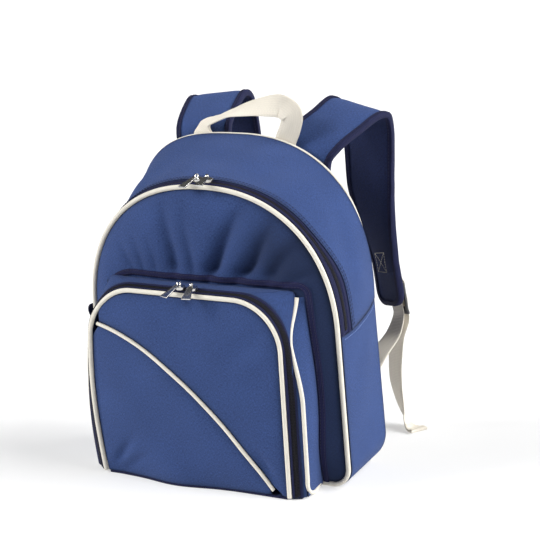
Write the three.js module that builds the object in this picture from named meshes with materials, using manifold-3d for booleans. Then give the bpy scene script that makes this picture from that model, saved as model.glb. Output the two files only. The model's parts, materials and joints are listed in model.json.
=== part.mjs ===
// Picnic backpack: a soft upright bag with a domed main compartment, a boxy front pocket, cream piping,
// two coil zips with paired sliders, a webbing grab handle and two padded shoulder straps.
// Millimetres. +Z is up, +Y is the wearer's side, and the origin is the middle of the main base,
// on the floor.
import * as THREE from 'three';
import { mergeVertices } from 'three/addons/utils/BufferGeometryUtils.js';
import Module from 'manifold-3d';

const { Vector2, Vector3 } = THREE;
const { lerp } = THREE.MathUtils;
const wasm = await Module();
wasm.setup();

// Cloth, trim and clearances
const WALL = 2; // outer cloth with its foam and lining
const GAP = 0.3; // clearance kept between neighbouring pieces
const PIPING_RADIUS = 2.5;
const BACK_PIPING_RADIUS = 2;
const PIPING_CLEAR = 0.2; // from the piping's cover to the outline, so that none reaches the floor
const BACK_PIPING_INSET = 0.8; // from the back outline to its piping's centre line, above the base
const ACCENT_RADIUS = 2;
const ZIP_BAND = { side: 23, top: 12.5, from: 0.3, to: 0.38 }; // the main zip's tapes, narrower over the dome
const WEBBING_WIDTH = 25;
const WEBBING_THICK = 1.6;

// Main compartment: two domed panels, each a flat foot, rounded foot corners, sides and a superellipse dome
const MAIN_DEPTH = 82;
const FRONT_LEAN = 0.08; // the front panel leans forward this much for each millimetre of height
const FRONT_BULGE = 18; // how far the filled front panel swells past its piping
const FRONT_FOOT_FADE = 60; // height over which that swell grows from the foot
const FRONT = { footHalf: 151, springHalf: 149.5, spring: 165, rise: 151, power: 2.25, corner: 22 };
const BACK = {
  footHalf: 151, springHalf: 144.5, spring: 182, rise: 169, power: 2.5, corner: 36,
  leftHalf: 150.5, leftPower: 2.85, // the left shoulder stands fuller than the right one
  skew: 18, // how far the top leans to the left
};
const SIDE_SWELL = 3; // outward swell of the gusset, halfway between the panels
const GUSSET_FLARE = 1.5; // the gusset runs level behind the zip, then climbs to the taller back
const BACK_PANEL_THICK = 3;
const PANEL_RINGS = [0.35, 0.62, 0.82, 0.93, 1]; // rings of facets, as shares of the way to the rim
const BACK_RINGS = [0.5, 1];

// Soft folds that rise from the pocket's top into the front panel: where each starts and ends,
// its depth and its width
const FRONT_FOLDS = [
  { footX: -28, topX: -46, depth: 4, width: 12 },
  { footX: 15, topX: 42, depth: 5, width: 13 },
  { footX: 52, topX: 80, depth: 4, width: 13 },
];
const FOLD_FOOT = 229; // just above the pocket's binding
const FOLD_TOP = 302;
const FOLD_START = 14; // height over which each fold deepens from its foot

// Front pocket: three nested inverted U lines, from the panel's piping out to the pocket's outer seam
const POCKET_FOOT = 2.7; // the pocket's walls start just above its base
const POCKET_FRONT = -98; // the pocket's front plane at the floor
const POCKET_LEAN = 0.05;
const POCKET_BULGE = 12;
// narrow is the share of its width that a line loses at the top, swell is how far its left side bows out,
// and each Back is how far it lies behind the pocket's front plane
const POCKET_PIPE = {
  left: 117, right: 107, top: 208.5, corner: 52, narrow: 0, swell: 8, leftBack: 0, rightBack: 0, topBack: 0,
};
const POCKET_ZIP_EDGE = {
  left: 125, right: 119, top: 214, corner: 56, narrow: 0, swell: 6, leftBack: 13, rightBack: 6, topBack: 11,
};
const POCKET_SEAM = {
  left: 128, right: 124, top: 216.5, corner: 6, narrow: 0.09, swell: 4.5, leftBack: 19, rightBack: 9,
};
const SWELL_DROP = 30; // the left side's bow starts this far below the floor, so that its foot flares too
const SWELL_TOP = 195;
const POCKET_CORE = { widthShare: 0.8, y: -45, top: 195 }; // the pocket's walls thicken toward this
const POCKET_SEAT = 3.3; // how far the pocket's top edge stops in front of the main panel
const FOOT_WAVE = { x: -25, width: 40, depth: 9, height: 60 }; // where the pocket's foot is pushed out
const SIDE_PIPING_RADIUS = 2.2;
const SIDE_PIECE_SHARE = 0.325; // each side piece's share of the outer seam, up from the foot
const POCKET_BASE_HALF = 117;
const POCKET_BASE_BACK = -47;
const BINDING_FOOT = 8;
const BINDING_SEAT = 0.8; // from the pocket's edge to the binding
const BINDING_LIFT = 1.9; // from the main panel to the binding, clear of the panel's facets
const BINDING_STEPS = 60;
const SIDE_SEAT = 1.5; // from the main panel to the pocket's side pieces
const POCKET_ZIP_INSET = 3.2; // from the piping's centre line to the zip tape
const POCKET_BACK_HALF = 118; // half width of the pocket where it joins the main panel
const POCKET_BACK_SWELL = 7;
const BINDING_WIDTH = 9;
const BINDING_THICK = 1.5;
const BASE_TURN = 6; // where the base's front edge starts to draw back to the side seams
// The diagonal seam: a bent line, and the shares of it between which its piping shows
const ACCENT = { start: [-115, 169.5], pull: [-4, 154], end: [92, 4], from: 0.035, to: 0.985 };
const ACCENT_TIP = 1; // clearance where the two halves of the panel run out at the seam's ends

// Shoulder strap, the right one: centre line, direction across it and width, from its sewn end down.
// The left one hangs nearer the bag's middle by the bow, higher by the lift, and with less tilt
const STRAP_ROWS = [
  { x: 52, y: 49.4, z: 284, acrossX: 0.97, acrossY: 0, acrossZ: -0.25, width: 58 },
  { x: 59, y: 50.2, z: 312, acrossX: 0.96, acrossY: 0, acrossZ: -0.27, width: 62 },
  { x: 65, y: 53.6, z: 334, acrossX: 0.95, acrossY: -0.05, acrossZ: -0.3, width: 65, lift: 2 },
  { x: 74, y: 64, z: 352, acrossX: 0.94, acrossY: -0.15, acrossZ: -0.3, width: 66, lift: 5 },
  { x: 83, y: 85, z: 367, acrossX: 0.95, acrossY: -0.2, acrossZ: -0.24, width: 66, bow: 5, lift: 6 },
  { x: 90, y: 109, z: 375, acrossX: 0.96, acrossY: -0.2, acrossZ: -0.22, width: 66, bow: 10, lift: 6 },
  { x: 94, y: 130, z: 369, acrossX: 0.96, acrossY: -0.22, acrossZ: -0.16, width: 63, bow: 13, lift: 5 },
  { x: 95, y: 143, z: 350, acrossX: 0.97, acrossY: -0.22, acrossZ: -0.06, width: 59, bow: 15, lift: 3 },
  { x: 94, y: 149, z: 320, acrossX: 0.97, acrossY: -0.22, acrossZ: 0, width: 56, bow: 15 },
  { x: 93, y: 152, z: 280, acrossX: 0.97, acrossY: -0.22, acrossZ: 0, width: 54, bow: 13 },
  { x: 95, y: 153, z: 240, acrossX: 0.9, acrossY: -0.43, acrossZ: 0, width: 53, bow: 9 },
  { x: 103, y: 152, z: 195, acrossX: 0.8, acrossY: -0.6, acrossZ: 0, width: 52, bow: 4 },
  { x: 111, y: 150, z: 147, acrossX: 0.8, acrossY: -0.6, acrossZ: 0, width: 52 },
];
const LEFT_TILT = 0.4; // the left strap's tilt, as a share of the right one's
const STRAP_THICK = 9.5;
const STRAP_EDGE_THICK = 5;
const STRAP_EDGE = 9; // flat margin that the binding tape folds over
const STRAP_END_RADIUS = 16;
const STRAP_SECTIONS = 22;
const STRAP_HALF = 26; // half width that the section is drawn at
const STRAP_TAPER = 35.2; // length over which the padding thins out to the free end

// Ladder-lock buckle, placed along the strap from its free end and out from its face
const BUCKLE = { bars: [-22, -9, 5], out: 9.6, bar: 2.6, slot: 27, rail: 4 };

// Webbing through the buckle, as distances past the strap's end and out from its centre line
const LOOP_ROUTE = [
  { past: -70, out: 6.3 },
  { past: -45, out: 6.1 },
  { past: -30, out: 6.1 },
  { past: -22, out: 6.1 },
  { past: -18.5, out: 9.6 },
  { past: -22, out: 13.1 },
  { past: -28, out: 11 },
  { past: -37, out: 8.1 },
  { past: -62, out: 7.9 },
];
const THREAD_ROUTE = [
  { past: 12, out: 6.4 },
  { past: 4, out: 6.6 },
  { past: -9, out: 6.1 },
  { past: -12.5, out: 9.6 },
  { past: -9, out: 13.1 },
  { past: 4, out: 12.8 },
  { past: 14, out: 12.6 },
];

// Adjuster webbing past the buckle, right side: to the bag's foot one way and to the floor the other
const ANCHOR_ROWS = [
  { x: 113, y: 45.6, z: 34, acrossX: 1, acrossY: 0, acrossZ: 0 },
  { x: 112.7, y: 45.6, z: 46, acrossX: 1, acrossY: 0, acrossZ: 0 },
  { x: 112, y: 49, z: 54, acrossX: 1, acrossY: -0.03, acrossZ: 0 },
  { x: 109, y: 66, z: 68, acrossX: 0.99, acrossY: -0.1, acrossZ: 0 },
  { x: 111, y: 105, z: 90, acrossX: 0.95, acrossY: -0.3, acrossZ: 0 },
  { x: 116, y: 141, z: 115, acrossX: 0.84, acrossY: -0.54, acrossZ: 0 },
];
const TAIL_ROWS = [
  { x: 114, y: 167, z: 112, acrossX: 0.84, acrossY: -0.54, acrossZ: 0 },
  { x: 105, y: 168, z: 84, acrossX: 0.88, acrossY: -0.47, acrossZ: 0 },
  { x: 103, y: 166, z: 54, acrossX: 0.85, acrossY: -0.53, acrossZ: 0 },
  { x: 109, y: 163, z: 27, acrossX: 0.68, acrossY: -0.7, acrossZ: -0.1 },
  { x: 118, y: 159, z: 10.5, acrossX: 0.45, acrossY: -0.88, acrossZ: 0 },
  { x: 128.5, y: 155.5, z: 3.6, acrossX: 0.3, acrossY: -0.95, acrossZ: 0 },
  { x: 141, y: 151, z: 2.4, acrossX: 0.28, acrossY: -0.96, acrossZ: 0 },
];

// Grab handle: webbing sewn flat behind the top edge, leaning over to a crease near its right leg
const HANDLE_ROWS = [
  { x: -65, y: 46.5, z: 334, acrossX: 1, acrossY: 0, acrossZ: 0.14 },
  { x: -63, y: 49, z: 349, acrossX: 1, acrossY: 0.04, acrossZ: 0.14 },
  { x: -61, y: 51.4, z: 354.5, acrossX: 0.97, acrossY: -0.12, acrossZ: 0.12 },
  { x: -55.5, y: 51.8, z: 361, acrossX: 0.58, acrossY: -0.76, acrossZ: 0 },
  { x: -46.6, y: 50.6, z: 365.2, acrossX: 0.34, acrossY: -0.9, acrossZ: -0.12 },
  { x: -28.4, y: 50.6, z: 372.6, acrossX: 0.24, acrossY: -0.9, acrossZ: -0.2 },
  { x: -13.5, y: 51, z: 376.4, acrossX: 0.2, acrossY: -0.82, acrossZ: -0.4 },
  { x: 6, y: 51.2, z: 380, acrossX: 0.12, acrossY: -0.2, acrossZ: -0.9 },
  { x: 25, y: 50.6, z: 381.6, acrossX: 0, acrossY: 0.16, acrossZ: -0.97 },
  { x: 38, y: 49.8, z: 380.2, acrossX: -0.3, acrossY: 0.05, acrossZ: -0.94 },
  { x: 47, y: 48.7, z: 371.5, acrossX: -0.97, acrossY: -0.08, acrossZ: -0.16 },
  { x: 45, y: 47.4, z: 359.6, acrossX: -0.98, acrossY: 0, acrossZ: 0.18 },
  { x: 39.5, y: 46.6, z: 346, acrossX: -0.96, acrossY: 0, acrossZ: 0.27 },
  { x: 36.4, y: 46.5, z: 334, acrossX: -0.96, acrossY: 0, acrossZ: 0.27 },
];

// Zip sliders and their pull tabs
const SLIDER = {
  length: 10.6, width: 9, height: 3.2, post: 1.5, window: 5.4, bar: 1.6, barHeight: 3.1, root: 1, sill: 0.4,
};
const PULL = {
  eyeHole: 1.6, eye: 2.6, eyeWidth: 2.4, start: 3.6, shoulder: 1.5, length: 24.5, width: 9, corner: 1,
  thick: 1.3,
};
// Where each slider stands, and its pull's turn to the right and droop below level, in degrees
const MAIN_SLIDERS = [
  { side: 'left', x: -6.3, turn: -15, droop: 21 },
  { side: 'right', x: 5.6, turn: 7, droop: 14 },
];
const POCKET_SLIDERS = [
  { side: 'left', x: -8.2, turn: -16, droop: 24 },
  { side: 'right', x: 6.4, turn: 15, droop: 24 },
];
// Folded zip end at the left side seam
const ZIP_TAB = { reach: 11, height: 18, thick: 1.2, depth: 14, clear: 1 };

const material = (color, roughness, metalness = 0) =>
  new THREE.MeshStandardMaterial({ color, roughness, metalness });
const BLUE = () => material(0x4a639f, 0.85);
const NAVY = () => material(0x1f2142, 0.8);
const CREAM = () => material(0xf0e9da, 0.7);
const WEBBING = () => material(0xe6ddcb, 0.8);
const STEEL = () => material(0x6d6f74, 0.35, 1);
const PLASTIC = () => material(0x3a3c40, 0.5);

const bag = new THREE.Group();

function add(name, geometry, surface, parent = bag) {
  const mesh = new THREE.Mesh(geometry, surface);
  mesh.name = name;
  parent.add(mesh);
  return mesh;
}

// Helpers that turn rows of points into closed bodies

function solid(points, triangles) {
  let volume = 0;
  for (const [a, b, c] of triangles) {
    volume += points[a].dot(points[b].clone().cross(points[c]));
  }
  const index = volume < 0 ? triangles.flatMap(([a, b, c]) => [a, c, b]) : triangles.flat();
  const raw = new THREE.BufferGeometry().setFromPoints(points);
  raw.setIndex(index);
  const merged = mergeVertices(raw, 1e-3);
  const kept = [];
  const order = merged.index.array;
  for (let i = 0; i < order.length; i += 3) {
    const [a, b, c] = order.subarray(i, i + 3);
    if (a !== b && b !== c && c !== a) kept.push(a, b, c);
  }
  merged.setIndex(kept);
  merged.computeVertexNormals();
  return merged;
}

// A cloth wall: outer(u, v) gives its outer face, inward(point, u) the way to its inner face
function wall(columns, rows, outer, inward, thick = WALL) {
  const points = [];
  const across = rows + 1;
  for (const layer of [0, 1]) {
    for (let i = 0; i <= columns; i++) {
      for (let j = 0; j <= rows; j++) {
        const point = outer(i / columns, j / rows);
        points.push(layer ? point.addScaledVector(inward(point, i / columns), thick) : point);
      }
    }
  }
  const at = (layer, i, j) => layer * (columns + 1) * across + i * across + j;
  const triangles = [];
  const quad = (a, b, c, d) => triangles.push([a, b, c], [a, c, d]);
  for (let i = 0; i < columns; i++) {
    for (let j = 0; j < rows; j++) {
      quad(at(0, i, j), at(0, i + 1, j), at(0, i + 1, j + 1), at(0, i, j + 1));
      quad(at(1, i, j), at(1, i, j + 1), at(1, i + 1, j + 1), at(1, i + 1, j));
    }
    quad(at(0, i, 0), at(1, i, 0), at(1, i + 1, 0), at(0, i + 1, 0));
    quad(at(0, i, rows), at(0, i + 1, rows), at(1, i + 1, rows), at(1, i, rows));
  }
  for (let j = 0; j < rows; j++) {
    quad(at(0, 0, j), at(0, 0, j + 1), at(1, 0, j + 1), at(1, 0, j));
    quad(at(0, columns, j), at(1, columns, j), at(1, columns, j + 1), at(0, columns, j + 1));
  }
  return solid(points, triangles);
}

// A domed panel in rings round its middle: rim(t) gives its edge and lift(x, z) its outer face's y
function cap(columns, rings, rim, middle, lift, inward, thick) {
  const points = [];
  const triangles = [];
  const per = columns * rings.length + 1;
  for (const layer of [0, 1]) {
    const place = (x, z) => new Vector3(x, lift(x, z) + layer * inward * thick, z);
    points.push(place(middle.x, middle.y));
    for (const share of rings) {
      for (let i = 0; i < columns; i++) {
        const edge = rim(i / columns);
        points.push(place(middle.x + (edge.x - middle.x) * share, middle.y + (edge.y - middle.y) * share));
      }
    }
  }
  const at = (layer, ring, i) => layer * per + 1 + ring * columns + (i % columns);
  for (let i = 0; i < columns; i++) {
    triangles.push([0, at(0, 0, i), at(0, 0, i + 1)], [per, at(1, 0, i + 1), at(1, 0, i)]);
    for (let ring = 0; ring + 1 < rings.length; ring++) {
      const [a, b] = [at(0, ring, i), at(0, ring, i + 1)];
      const [c, d] = [at(0, ring + 1, i + 1), at(0, ring + 1, i)];
      triangles.push([a, d, c], [a, c, b], [a + per, c + per, d + per], [a + per, b + per, c + per]);
    }
    const [a, b] = [at(0, rings.length - 1, i), at(0, rings.length - 1, i + 1)];
    triangles.push([a, a + per, b + per], [a, b + per, b]);
  }
  return solid(points, triangles);
}

// A solid swept through like sections; place(i, p) puts the section's point p at station i
function sweep(section, stations, place) {
  const points = [];
  const triangles = [];
  const size = section.length;
  for (let i = 0; i < stations; i++) {
    for (const p of section) points.push(place(i, p));
  }
  for (let i = 0; i + 1 < stations; i++) {
    for (let j = 0; j < size; j++) {
      const [a, b] = [i * size + j, i * size + ((j + 1) % size)];
      const [c, d] = [b + size, a + size];
      const direct = points[a].distanceTo(points[c]) <= points[b].distanceTo(points[d]);
      triangles.push(...(direct ? [[a, b, c], [a, c, d]] : [[a, b, d], [b, c, d]]));
    }
  }
  const last = (stations - 1) * size;
  for (const [a, b, c] of THREE.ShapeUtils.triangulateShape(section, [])) {
    triangles.push([c, b, a], [a + last, b + last, c + last]);
  }
  return solid(points, triangles);
}

// A seam line whose steps fall where the neighbouring walls have theirs
class SeamLine extends THREE.Curve {
  constructor(place) {
    super();
    this.place = place;
  }

  getPoint(t) {
    return this.place(t);
  }

  getUtoTmapping(u) {
    return u;
  }
}

function tube(place, radius, steps) {
  const section = new THREE.Shape().absarc(0, 0, radius, 0, 2 * Math.PI);
  const extrudePath = new SeamLine(place);
  return new THREE.ExtrudeGeometry(section, { steps, curveSegments: 3, bevelEnabled: false, extrudePath });
}

function asManifold(geometry) {
  const bare = geometry.clone();
  bare.deleteAttribute('normal');
  bare.deleteAttribute('uv');
  const merged = mergeVertices(bare, 1e-4);
  return new wasm.Manifold(new wasm.Mesh({
    numProp: 3,
    vertProperties: new Float32Array(merged.attributes.position.array),
    triVerts: new Uint32Array(merged.index.array),
  }));
}

function join(...geometries) {
  const { vertProperties, triVerts } = geometries.map(asManifold).reduce((a, b) => a.add(b)).getMesh();
  const joined = new THREE.BufferGeometry();
  joined.setAttribute('position', new THREE.BufferAttribute(vertProperties, 3));
  joined.setIndex(new THREE.BufferAttribute(triVerts, 1));
  joined.computeVertexNormals();
  return joined;
}

const samples = (count) => Array.from({ length: count + 1 }, (_, i) => i / count);
const smooth = (from, to, value) => THREE.MathUtils.smoothstep(value, from, to);
const clamp = (value) => THREE.MathUtils.clamp(value, 0, 1);

// The main compartment's outlines and walls

const RIM = 60; // steps once round a main panel
const FOOT_SHARE = 6 / RIM; // shares of an outline from the foot's middle: foot, corner and side
const CORNER_SHARE = 9 / RIM;
const SIDE_SHARE = 16 / RIM;
const SEAM_SHARE = 0.0002; // half a gap, as a share of the outline
const LOWER_STEPS = 2 * SIDE_SHARE * RIM;
const UPPER_STEPS = RIM - LOWER_STEPS;
const PANEL_INSET = 2 * PIPING_RADIUS + GAP;
const PANEL_MIDDLE = new Vector2(0, FRONT.spring - 10);

// Once round a panel: t is 0 at the foot's middle and 0.5 at the top, with the right side first
function outline(shape, t, inset = 0) {
  const k = t <= 0.5 ? t : 1 - t;
  const corner = Math.max(shape.corner - inset, 3);
  const half = shape.footHalf - inset;
  const springHalf = t <= 0.5 ? shape.springHalf : shape.leftHalf ?? shape.springHalf;
  let x = ((half - corner) * k) / FOOT_SHARE;
  let z = inset;
  if (k > SIDE_SHARE) {
    const angle = ((k - SIDE_SHARE) / (0.5 - SIDE_SHARE)) * (Math.PI / 2);
    const power = t <= 0.5 ? shape.power : shape.leftPower ?? shape.power;
    x = (springHalf - inset) * Math.max(Math.cos(angle), 0) ** (2 / power);
    z = shape.spring + (shape.rise - inset) * Math.sin(angle) ** (2 / power);
  } else if (k > CORNER_SHARE) {
    const share = (k - CORNER_SHARE) / (SIDE_SHARE - CORNER_SHARE);
    z = lerp(inset + corner, shape.spring, share);
    x = lerp(half, springHalf - inset, share);
  } else if (k > FOOT_SHARE) {
    const angle = ((k - FOOT_SHARE) / (CORNER_SHARE - FOOT_SHARE)) * (Math.PI / 2);
    x = half - corner + corner * Math.sin(angle);
    z = inset + corner - corner * Math.cos(angle);
  }
  const climb = Math.max(z - shape.spring, 0) / shape.rise;
  return new Vector2((t <= 0.5 ? x : -x) - (shape.skew ?? 0) * climb ** 2, z);
}

const frontPlane = (z) => -MAIN_DEPTH / 2 - FRONT_LEAN * z;
const backPlane = MAIN_DEPTH / 2;

function outward(t) {
  const step = 1e-3;
  const ahead = outline(FRONT, Math.min(t + step, 1));
  const behind = outline(FRONT, Math.max(t - step, 0));
  return new Vector3(ahead.y - behind.y, 0, behind.x - ahead.x).normalize();
}

// A point on the gusset: share is 0 at the front seam and 1 at the back seam
function gussetPoint(t, share) {
  const near = outline(FRONT, t);
  const far = outline(BACK, t);
  const loose = smooth(CORNER_SHARE, SIDE_SHARE, Math.min(t, 1 - t));
  const swell = SIDE_SWELL * Math.sin(Math.PI * share) * loose;
  const flat = near.clone().lerp(far, share ** lerp(1, GUSSET_FLARE, loose));
  const y = lerp(frontPlane(near.y), backPlane, share);
  return new Vector3(flat.x, y, flat.y).addScaledVector(outward(t), swell);
}

const gussetDepth = (t) => gussetPoint(t, 0).distanceTo(gussetPoint(t, 1));

// The main zip's width at a place round the outline
function zipBand(t) {
  const high = smooth(ZIP_BAND.from, ZIP_BAND.to, Math.min(t, 1 - t));
  return lerp(ZIP_BAND.side, ZIP_BAND.top, high);
}

// A stretch of the gusset, between two shares of the outline and two shares of its depth
function gussetWall(columns, rows, from, to, near, far) {
  const round = (u) => (lerp(from, to, u) + 1) % 1;
  const outer = (u, v) => gussetPoint(round(u), lerp(near(round(u)), far(round(u)), v));
  return wall(columns, rows, outer, (point, u) => outward(round(u)).negate());
}

// How full the front panel is, from 0 at its rim to 1 over the middle
function frontFill(x, z) {
  const low = Math.min(z / FRONT.spring, 1);
  const half = lerp(FRONT.footHalf, FRONT.springHalf, low) - PANEL_INSET;
  const up = Math.max(z - FRONT.spring, 0) / (FRONT.rise - PANEL_INSET);
  const rim = Math.min((Math.abs(x) / half) ** FRONT.power + up ** FRONT.power, 1);
  const foot = 1 - (1 - clamp((z - PANEL_INSET) / FRONT_FOOT_FADE)) ** 2;
  return (1 - rim ** 3) * foot;
}

// The front panel's outer face
function mainFace(x, z) {
  const rise = clamp((z - FOLD_FOOT) / (FOLD_TOP - FOLD_FOOT));
  let fold = 0;
  for (const { footX, topX, depth, width } of FRONT_FOLDS) {
    const away = (x - lerp(footX, topX, rise)) / width;
    fold += depth * (1 - rise) * Math.exp(-away * away);
  }
  const fill = frontFill(x, z);
  const shown = smooth(FOLD_FOOT, FOLD_FOOT + FOLD_START, z);
  return frontPlane(z) - PIPING_RADIUS - GAP - FRONT_BULGE * fill + fold * shown * fill;
}

// The same face as built, in flat facets, for what is sewn on to it
let frontPanel;
const towardBack = new THREE.Raycaster(new Vector3(), new Vector3(0, 1, 0));
function panelY(x, z) {
  towardBack.ray.origin.set(x, -2 * MAIN_DEPTH, z);
  const [hit] = towardBack.intersectObject(frontPanel);
  return hit ? hit.point.y : mainFace(x, z);
}

function mainCompartment() {
  const start = SIDE_SHARE + SEAM_SHARE;
  const zipShare = (t) => zipBand(t) / gussetDepth(t);
  const clothShare = (t) => (zipBand(t) + GAP) / gussetDepth(t);
  add('main_zip', gussetWall(UPPER_STEPS, 2, start, 1 - start, () => 0, zipShare), NAVY());
  add('main_gusset_upper', gussetWall(UPPER_STEPS, 4, start, 1 - start, clothShare, () => 1), BLUE());
  const end = SIDE_SHARE - SEAM_SHARE;
  add('main_gusset_lower', gussetWall(LOWER_STEPS, 3, -end, end, () => 0, () => 1), BLUE());

  const rim = (t) => outline(FRONT, t, PANEL_INSET);
  frontPanel = add('main_front_panel', cap(RIM, PANEL_RINGS, rim, PANEL_MIDDLE, mainFace, 1, WALL), BLUE());

  const seam = (u) => lerp(SEAM_SHARE, 1 - SEAM_SHARE, u);
  const frontPipe = (u) => {
    const p = outline(FRONT, seam(u), PIPING_RADIUS + PIPING_CLEAR);
    return new Vector3(p.x, frontPlane(p.y) - PIPING_RADIUS - GAP, p.y);
  };
  add('main_piping', tube(frontPipe, PIPING_RADIUS, RIM), CREAM());

  // The back piping stands a little proud of the gusset, except under the base
  const proud = (t) => {
    const up = smooth(FOOT_SHARE, SIDE_SHARE, Math.min(t, 1 - t));
    return lerp(BACK_PIPING_RADIUS + PIPING_CLEAR, BACK_PIPING_INSET, up);
  };
  const backPipe = (u) => {
    const p = outline(BACK, seam(u), proud(seam(u)));
    return new Vector3(p.x, backPlane + GAP + BACK_PIPING_RADIUS, p.y);
  };
  add('back_piping', tube(backPipe, BACK_PIPING_RADIUS, RIM), CREAM());
  const backRim = (t) => outline(BACK, t, proud(t) + BACK_PIPING_RADIUS + GAP);
  const backFace = () => backPlane + GAP + BACK_PANEL_THICK;
  const backBody = cap(RIM, BACK_RINGS, backRim, PANEL_MIDDLE, backFace, -1, BACK_PANEL_THICK);
  add('back_panel', backBody, NAVY());

  // The left end of the zip is folded into a small standing loop at the side seam
  const tab = new THREE.Shape();
  tab.moveTo(0, -ZIP_TAB.height / 2);
  tab.quadraticCurveTo(-ZIP_TAB.reach * 1.3, -ZIP_TAB.height / 4, -ZIP_TAB.reach, ZIP_TAB.height / 6);
  tab.quadraticCurveTo(-ZIP_TAB.reach / 2, ZIP_TAB.height / 2, 0, ZIP_TAB.height / 2);
  tab.lineTo(0, ZIP_TAB.height / 2 - ZIP_TAB.thick);
  tab.quadraticCurveTo(-ZIP_TAB.reach / 2, ZIP_TAB.height / 2 - 1.5 * ZIP_TAB.thick,
    -ZIP_TAB.reach + 1.4 * ZIP_TAB.thick, ZIP_TAB.height / 6);
  tab.quadraticCurveTo(-ZIP_TAB.reach, -ZIP_TAB.height / 4, 0, -ZIP_TAB.height / 2 + 2 * ZIP_TAB.thick);
  const width = { depth: ZIP_TAB.depth, bevelEnabled: false, curveSegments: 6 };
  const loop = new THREE.ExtrudeGeometry(tab, width);
  const seat = gussetPoint(1 - SIDE_SHARE, ZIP_BAND.side / 2 / gussetDepth(SIDE_SHARE));
  const mesh = add('zip_end_tab', loop, NAVY());
  mesh.rotation.x = Math.PI / 2;
  mesh.position.set(seat.x - ZIP_TAB.clear, seat.y + ZIP_TAB.depth / 2, seat.z);
}

// The front pocket's lines and walls

const U_STEPS = 40; // steps along an inverted U line, from its left foot to its right foot
const U_SIDE = 14 / U_STEPS;
const U_CORNER = 18 / U_STEPS;
const FOOT_STEPS = 10; // steps along the foot of the pocket's lower panel
const BACK_FADE = 160; // above this height the pocket's outer lines draw back to the main panel

const pocketPlane = (z) => POCKET_FRONT - POCKET_LEAN * z;

// A point on an inverted U line; grow moves the line out in its own plane
function uLine(line, t, grow = 0) {
  const k = Math.min(t, 1 - t);
  const sign = t < 0.5 ? -1 : 1;
  const half = (t < 0.5 ? line.left : line.right) + grow;
  const corner = Math.max(line.corner + grow, 1);
  const top = line.top + grow;
  let x = sign * half;
  let z = lerp(POCKET_FOOT, top - corner, Math.min(k / U_SIDE, 1));
  if (k > U_CORNER) {
    x = lerp(corner - line.left - grow, line.right + grow - corner, (t - U_CORNER) / (1 - 2 * U_CORNER));
    z = top;
  } else if (k > U_SIDE) {
    const angle = ((k - U_SIDE) / (U_CORNER - U_SIDE)) * (Math.PI / 2);
    x = sign * (half - corner + corner * Math.cos(angle));
    z = top - corner + corner * Math.sin(angle);
  }
  const side = t < 0.5 ? line.leftBack : line.rightBack;
  const high = smooth(BACK_FADE, line.top, z);
  x *= 1 - line.narrow * high;
  const bow = Math.sin(Math.PI * clamp((z + SWELL_DROP) / (SWELL_TOP + SWELL_DROP)));
  if (t < 0.5) x -= line.swell * bow;
  const topY = line === POCKET_SEAM ? panelY(x, z) - POCKET_SEAT : pocketPlane(z) + line.topBack;
  return new Vector3(x, lerp(pocketPlane(z) + side, topY, high), z);
}

// The pocket panel's outer face, fullest in the middle and pushed out along part of its foot
function panelFace(x, z) {
  const middle = (POCKET_PIPE.right - POCKET_PIPE.left) / 2;
  const half = (POCKET_PIPE.right + POCKET_PIPE.left) / 2;
  const across = 1 - Math.min(Math.abs((x - middle) / half), 1) ** 3;
  const up = 1 - Math.min(Math.abs((2 * z) / POCKET_PIPE.top - 1), 1) ** 3;
  const away = (x - FOOT_WAVE.x) / FOOT_WAVE.width;
  const wave = FOOT_WAVE.depth * Math.exp(-away * away) * (1 - smooth(0, FOOT_WAVE.height, z));
  return pocketPlane(z) - POCKET_BULGE * across * up - wave * across;
}

const onPanel = (p) => new Vector3(p.x, panelFace(p.x, p.y), p.y);
function intoPocket(p) {
  const core = new Vector3(POCKET_CORE.widthShare * p.x, POCKET_CORE.y, Math.min(p.z, POCKET_CORE.top));
  return core.sub(p).normalize();
}

const TO_BACK = new Vector3(0, 1, 0);

// A point a share of the way along a row of points
function along(points, share) {
  const place = clamp(share) * (points.length - 1);
  const i = Math.min(Math.floor(place), points.length - 2);
  return points[i].clone().lerp(points[i + 1], place - i);
}

function accentLine(u) {
  const [start, pull, end] = [ACCENT.start, ACCENT.pull, ACCENT.end].map(([x, z]) => new Vector2(x, z));
  return start.lerp(pull, u).lerp(pull.clone().lerp(end, u), u);
}

function accentOffset(u, distance) {
  const step = 1e-3;
  const way = accentLine(Math.min(u + step, 1)).sub(accentLine(Math.max(u - step, 0))).normalize();
  return accentLine(u).add(new Vector2(way.y, -way.x).multiplyScalar(-distance));
}

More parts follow.
